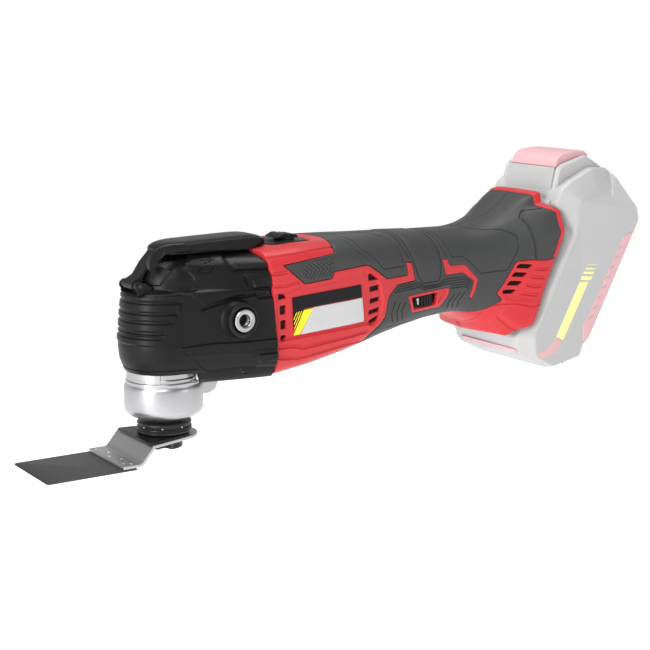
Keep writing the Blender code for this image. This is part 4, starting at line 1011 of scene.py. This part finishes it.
def make_holder():
    """Tool holder with its skirt and pins, a thin dark plate that darkens the bracket's top round it, and
    the notched head of the clamp bolt.
    """
    lathe("tool_holder", [(7.6, 10.1), (12.2, 10.1), (13.6, 9.7), (14.4, 8.9), (14.5, 8), (13.9, 7.7),
        (13.8, 6.6), (14.5, 6.2), (14.6, 5.9), (14.2, 5.5), (14.2, 5.1), (14.6, 4.8), (14.6, 3.8),
        (13.9, 3.4), (11.4, 2.2), (8, 2.1)], (0, 0, 0), UP, HOLDER_BLACK, ("collar",), steps=96)
    for k in range(8):
        turn = math.radians(45.0 * k + 14.0)
        out = (math.cos(turn), math.sin(turn), 0.0)
        lathe(f"holder_pin_{k}", [(0, 12.6), (0.55, 12.8), (0.55, 14.1), (0.4, 14.3), (0, 14.35)],
            (0.0, 0.0, 7.1), out, (TURNED, "spindle_set", "steel"), steps=16)
    # a thin dark plate on the bracket's top round the holder, which makes the bracket darker there
    dark_plate = [(-18.4, 8), (-18.9, 19.4), (-12, 18.4), (4, 14.4), (10.4, 9.4), (12.6, 0)]
    plate_piece("holder_dark_plate", dark_plate + [(x, -y) for x, y in reversed(dark_plate[:-1])], 1.75, 2.9,
        HOLDER_BLACK, "XY", bevel=0.3, corner=2.0)
    lobes = []
    for k in range(120):
        turn = math.radians(3.0 * k)
        off = abs((3.0 * k + 117.0 + 60.0) % 120.0 - 60.0)          # from the nearest of three notches
        reach = 9.6 - 3.6 * max(0.0, 1.0 - (off / 19.0) ** 2) ** 0.5
        lobes.append((reach * math.cos(turn), reach * math.sin(turn)))
    plate_piece("clamp_head", lobes, -5.4, -0.2, CLAMP_BLACK, "XY", bevel=0.7,
                nodes=("clamp_bolt",))
    lathe("clamp_stem", [(0, -5), (3.1, -5), (3.1, 24), (0, 24)], (0, 0, 0), UP,
        CLAMP_BLACK, steps=32)


def make_bracket():
    """Cranked plate: flat round the holder, sloping down, and flat again over the blade."""
    line = [(-34.4, -6.7), (-24.9, -6.7), (-24.3, -6.5), (-23.9, -6.2), (-17.6, 1.2), (-17.2, 1.6),
        (-16.6, 1.8), (17.8, 1.8)]
    along = np.concatenate([[0], np.cumsum(np.hypot(*np.diff(np.array(line), axis=0).T))])
    surface = Surface(along, [np.column_stack([np.full(3, x), (21.6, 0.0, -21.6), np.full(3, z)]) for x,
        z in line])
    bend = along[6]
    tab = [(bend + 19.6 + 14.8 * math.cos(a), 14.8 * math.sin(a)) for a in np.radians(np.linspace(72.0,
        -72.0, 15))]
    outline = [(0, 21.5), (bend - 0.6, 21.5), *tab, (bend - 0.6, -21.5), (0, -21.5)]
    slots = [round_hole((s, t), 0.95, 4) for s, t in ((2.4, 15.5), (5.4, 6.8), (2.2, -1.2), (5.2, -8.7),
        (2, -17.7), (5.4, 17.9))]
    centre = round_hole((bend + 16.6, 0.0), 5.6, 32)
    panel("bracket_plate", surface, outline, (STAMPED, "spindle_set", "bracket_steel"), holes=[centre,
        *slots], base=0.0, depth=1.5, edge=0.25, corner=0.0, nodes=("accessory_bracket",))


def make_blade():
    """Saw blade with fine teeth across its tip."""
    pitch, depth, tip, half = 1.1, 0.9, -76.4, 21.9
    edge = []
    for k in range(39):
        y = -21.45 + pitch * k
        edge += [(tip + depth, y), (tip, y + pitch * 0.5)]
    outline = [(-27.0, -half), (tip + depth, -half), *edge, (tip + depth, half), (-27.0, half)]
    plate_piece("plunge_blade", outline, -9.35, -8.5, (BLADE, "spindle_set", "dark_steel"), "XY", bevel=0.0,
                nodes=("saw_blade",))


# ---------------------------------------------------------------- small controls

def make_controls():
    slide = [(66.6, 101.5), (66.8, 102.2), (68.4, 103), (70.4, 103.9), (72.6, 103.9), (74.2, 103.1),
        (75.6, 103.6), (77.2, 103.1), (78.6, 103.3), (80.2, 102.4), (80.6, 101.5), (78, 101.4),
        (78, 92.8), (72, 92.8), (72, 101.4)]
    plate_piece("switch_slide_cap", slide, -6.2, 6.2, (BLACK, "switch_slider", "black_plastic"), bevel=0.45,
                nodes=("slide_switch",))
    wheel = []
    for k in range(36):
        for reach, share in ((DIAL_RADIUS, 0), (DIAL_RADIUS, 0.45), (10.5, 0.6), (10.5, 0.85)):
            turn = math.radians(10.0 * (k + share))
            wheel.append((DIAL[0] + reach * math.cos(turn), DIAL[1] + reach * math.sin(turn)))
    plate_piece("dial_wheel", wheel, 59.0, 65.5, (BLACK, "dial", "black_plastic"), "XY", bevel=0.0,
                nodes=("speed_dial",))
    numeral = [[(0, 0), (0.5, 0), (0.5, 3.6), (0, 3.6)], [(-0.9, 2.6), (0, 3.6), (0.5, 3.2),
        (-0.5, 2.2)]]
    for number, strokes in enumerate(numeral):
        turn = math.radians(-112.0)
        out = np.array([math.cos(turn), math.sin(turn), 0.0])
        face = Flat(np.array([*DIAL, 60.4]) + out * DIAL_RADIUS, (-out[1], out[0], 0.0), UP)
        panel(f"dial_numeral_{number}", face, strokes, (WHITE_INK, "dial", "label_foil"), base=0.1,
            depth=0.8, edge=0.0, corner=0.0, spacing=0.8)
    lathe("work_light_lens", [(0, 10.4), (1.3, 10.6), (2, 11.2), (2.3, 12), (2.3, 24.6), (0, 24.6)],
        (0, -17.4, 34.2), (1, 0, 0), (CLEAR, "tool", "clear_lens"), ("work_light",), steps=36)


def make_lower_cover():
    """Cover round the back of the neck, its cheeks reaching forward under the head's lip, and its screw."""
    stations = [(9.6, 22), (12, 22.7), (16, 23.5), (20, 24.4), (28, 26), (36, 27.4),
        (44, 28.6), (51.2, 29.4)]
    for side, where in SIDES:
        rows = []
        for x, reach in stations:
            inner = math.sqrt(20.8 ** 2 - x * x) if x < 20.5 else SEAM
            lean = 0.42 * (20.0 - x) if x < 20.0 else 0.0           # the front edge slants back as it drops
            rows.append([(x, reach - 0.3, 39.0), (x, reach - 0.2, 36.6),
                (x + 0.15 * lean, reach - 1.2, 33.8), (x + 0.35 * lean, max(inner + 1.0, reach - 3.6),
                31.2), (x + 0.4 * lean, max(inner + 0.6, reach - 7.0), 30.4), (x + 0.4 * lean, inner, 30.4),
                (x, inner, 39.0)])
        vertices = [(x, side * y, z) for row in rows for x, y, z in row]
        piece = show(f"chin_{where}", vertices, closed_rings(len(rows), len(rows[0])), TOOL_BLACK,
                     ("lower_cover",) if side < 0 else ())
        bevelled(piece, 0.5, 2)
    screw_axis, screw_place = (0, -1, 0.1), (35, 0, 34.6)
    lathe("lip_screw_well", [(2.5, 24.6), (3.4, 24.6), (3.5, 26.4), (3.2, 26.7), (2.7, 26.5)], screw_place,
        screw_axis, TOOL_BLACK, steps=36)
    # painted shade: a dark disc fills the well, standing in for the shadow down the screw hole
    lathe("lip_screw_hole_shade", [(0, 24.8), (2.8, 24.8), (2.8, 26.25), (0, 26.25)], screw_place, screw_axis,
        TOOL_SHADE_BLACK, steps=36)
    lathe("lip_screw_head", [(0, 25.9), (1.5, 26.35), (1.7, 26.2), (1.7, 24.9), (0, 24.9)],
        (33.9, 0.0, 34.5), screw_axis, TOOL_TURNED, ("lip_screw",), steps=36)


def make_top_screw():
    """The screw at the foot sits a little lower than in the model, where the skin is."""
    seat = SKIN.at(np.array([TOP_SCREW]), -2.6)[0]
    lathe("foot_screw", [(0, -6), (1.5, -6), (1.5, 0), (3, 0), (3.1, 0.4), (2.6, 1.5),
        (1.3, 1.7), (1.2, 0.7), (0, 0.7)], tuple(seat), (0, 1, 0), (STEEL, "tool", "steel"),
        ("housing_screw_5",), steps=32)


# ---------------------------------------------------------------- battery

PACK_V = np.array([0.87882, 0.0, -0.47716])       # outward from the foot
PACK_W = np.array([0.47716, 0.0, 0.87882])        # up the slide rails
PACK_ZERO = np.array([0.0, 0.0, -9.0])
PACK_FLANK = 38.0

# outline in the middle and at the flank, corner by corner, (outward, up)
PACK_OUTLINES = [
    ((168.8, 141), (175.5, 146)), ((168.8, 214), (174.5, 212)), ((157.4, 221.5), (170.2, 222.5)),
    ((156.8, 232), (167.8, 230.6)), ((160.2, 238.6), (170, 232.6)), ((172, 253.6), (179.6, 238.4)),
    ((182.6, 258.4), (188.4, 244)), ((186, 257.4), (184.4, 254.6)), ((212.5, 248), (210.6, 246)),
    ((217.2, 241.5), (215.6, 240.6)), ((217.2, 160.7), (215.6, 161.6)), ((214.5, 155.9), (213.2, 156.6)),
    ((216, 148.4), (214.4, 149.4)), ((198.8, 133.9), (198.2, 136)), ((181, 133.5), (182.6, 136)),
]


def in_pack(v, y, w):
    return PACK_ZERO + PACK_V * v + PACK_W * w + np.array([0.0, y, 0.0])


def make_pack_shell():
    middle = softened([pair[0] for pair in PACK_OUTLINES], 2.2, 0.0, 0.4)
    flank = softened([pair[1] for pair in PACK_OUTLINES], 1.6, 0.0, 0.4)
    steps = [(29, 0), (30.6, 0.06), (32.2, 0.22), (36.6, 0.82), (37.6, 0.96), (38, 1.12)]
    stations = [(-y, u) for y, u in reversed(steps)] + [(y, u) for y, u in steps]
    vertices = [in_pack(v, y, w) for y, u in stations for v, w in middle * (1 - u) + flank * u]
    show("pack_shell", vertices, closed_rings(len(stations), len(middle)), PACK_CASE,
         ("battery_case_front", "battery_case_rear"), angle=14.0)


def pack_plate(name, outline, low, high, kind, bevel=0.6, nodes=()):
    """A rounded plate across the pack, from its outline in (outward, up)."""
    vertices = [in_pack(v, y, w) for y in (low, high) for v, w in outline]
    return bevelled(show(name, vertices, closed_rings(2, len(outline)), kind, nodes), bevel)


def make_pack_top():
    """The hump round the release button and the slide tower below it."""
    cheek = [(158, 228), (155.4, 234), (152.9, 243.4), (154.8, 246.6), (168.4, 259.8), (184, 259.6),
        (190, 252), (172, 236)]
    for side, where in SIDES:
        piece = pack_plate(f"hump_cheek_{where}", cheek, *sorted((side * 20.7, side * 24.6)), PACK_CASE,
            bevel=2.0)
        piece.modifiers["rounding"].segments = 2
    pack_plate("hump_middle", [(158, 228), (155.4, 234), (152.6, 243.4), (153.4, 243.8),
        (155.4, 240.6), (158.6, 240.6), (164.6, 246), (177.4, 259.4), (184, 259.4), (190, 252),
        (172.0, 236.0)], -20.9, 20.9, PACK_CASE, bevel=0.3)
    cap = pack_plate("release_button_cap", [(155.2, 243.9), (153.8, 244.3), (152.9, 249), (155.2, 253.8),
        (162, 258.8), (169.6, 262.9), (174.5, 262), (166.5, 252.6)], -20, 20, PACK_TRIM, 0.9,
        ("battery_button",))
    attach(cap, "release_button")
    comb = [(-25.0, 152.0)]
    for y in (-12.0, 0.0, 12.0):
        comb += [(y - 2.0, 152.0), (y - 2.0, 216.0), (y + 2.0, 216.0), (y + 2.0, 152.0)]
    comb += [(25, 152), (25, 224), (-25, 224)]
    narrow = [(max(-20.4, min(20.4, y)), min(w, 222.0)) for y, w in comb]
    for name, outline, face, depth in (("tower_lip", comb, 155.9, 5.0), ("tower_web", narrow, 160.7, 9.0)):
        flat = Flat(in_pack(face, 0.0, 0.0), (0.0, 1.0, 0.0), -PACK_W)
        panel(name, flat, [(y, -w) for y, w in outline], PACK_CASE, base=0.0, depth=depth,
              edge=0.4, corner=0.0, spacing=6.0)


def make_pack_trim(side, where):
    """Coloured trim on a flank: a yellow stripe with four dashes, and pink strips."""
    flank = Flat(in_pack(0.0, -PACK_FLANK, 0.0), PACK_V, PACK_W)
    turned = -side
    trim = [("stripe", [(191, 152.4), (191.3, 188.2), (197.7, 191), (197.2, 152.6)], PACK_YELLOW)]
    for k, (low, tall) in enumerate(((189.3, 2.6), (193.4, 1.5), (196.4, 1), (199.2, 0.8))):
        trim.append((f"dash_{k}", [(191.0 + 0.2 * k, low), (191.1 + 0.2 * k, low + tall),
            (199.0, low + tall + 3.3), (198.8, low + 3.3)], PACK_YELLOW))
    trim.append(("corner_strip", [(191, 152), (197.2, 152.2), (196.4, 146.6), (193, 141.6),
        (188.4, 137), (181.8, 137.4), (187.4, 142), (190.4, 147.6)], PACK_PINK))
    for name, outline, look in trim:
        panel(f"pack_{name}_{where}", flank, outline, (look, "battery", "pack_pink"), turned, base=0.06,
            depth=0.7, edge=0.1, corner=0.3, spacing=3.0)
    ticks = [([(210, 172.6 + 6.63 * k), (211.6, 174.6 + 6.63 * k)], 1.3, 0.5, False) for k in range(8)]
    panel(f"pack_grip_strip_{where}", flank, [(215.3, 232.6), (209.4, 226), (208.6, 196),
        (207.3, 165.9), (212.4, 157.6), (215.3, 161.6)], PACK_TRIM, turned, base=0.25, depth=1.2, edge=0.3,
        grooves=ticks, spacing=1.8)


def make_pack_back():
    """The field on the back with its seven grooves, and a pink bar under the front."""
    back = Flat(in_pack(217.2, 0, 0), (0, 1, 0), PACK_W)
    panel("pack_back_field", back, [(-25, 168), (25, 168), (25, 234), (-25, 234)],
        PACK_CASE, base=0.5, depth=1.6, edge=0.5, corner=3.0, spacing=4.0,
        grooves=[([(-18, 176 + 8.5 * k), (18, 176 + 8.5 * k)], 2.4, 0.8, False) for k in range(7)])
    run = np.array([12.2, -7.5]) / math.hypot(12.2, 7.5)
    under = Flat(in_pack(168.8, 0, 141), PACK_V * run[0] + PACK_W * run[1], (0, 1, 0))
    panel("pack_front_bar", under, [(8.9, 25.5), (8.9, -25.5), (11.6, -25.5), (11.6, 25.5)], PACK_TRIM,
        base=0.15, depth=1.0, edge=0.2, corner=0.4, spacing=3.0)


def make_foot_back():
    """The plate that closes the foot, and the two rails the pack slides along."""
    def facing_pack(v):
        return Flat(in_pack(v, 0.0, 0.0), (0.0, 1.0, 0.0), PACK_W)

    half = [(0, 225), (17, 224.6), (19.6, 218), (26.5, 212), (29, 204), (29, 196),
        (27, 170), (27, 158), (0, 158)]
    outline = half + [(-y, w) for y, w in reversed(half[1:-1])]
    panel("foot_plate", facing_pack(155.0), outline, TOOL_BLACK, base=0.0, depth=4.2, edge=0.4,
          corner=0.0, spacing=5.0, nodes=("rail_plate",))
    for side, where in SIDES:
        for name, inner, face, depth in (("web", 26.0, 161.9, 7.2), ("lip", 21.0, 164.4, 2.8)):
            near, far = sorted((side * inner, side * 29.8))
            panel(f"rail_{name}_{where}", facing_pack(face), [(near, 159.0), (far, 159.0), (far, 205.0),
                (near, 205.0)], TOOL_BLACK, base=0.0, depth=depth, edge=0.3, corner=0.0, spacing=5.0)


# ---------------------------------------------------------------- all of it

for makers in ((make_red_shell, make_grip, make_foot, make_vent_shade_backs), (make_label,)):
    for half, name_of_half in SIDES:
        for make in makers:
            make(half, name_of_half)
for make in (make_head, make_lever, make_top_screw, make_neck, make_holder, make_bracket, make_blade,
             make_controls, make_lower_cover, make_pack_shell, make_pack_top, make_foot_back):
    make()
for half, name_of_half in SIDES:
    make_pack_trim(half, name_of_half)
make_pack_back()

bpy.context.scene.view_settings.view_transform = "Standard"
make_camera()
make_studio()
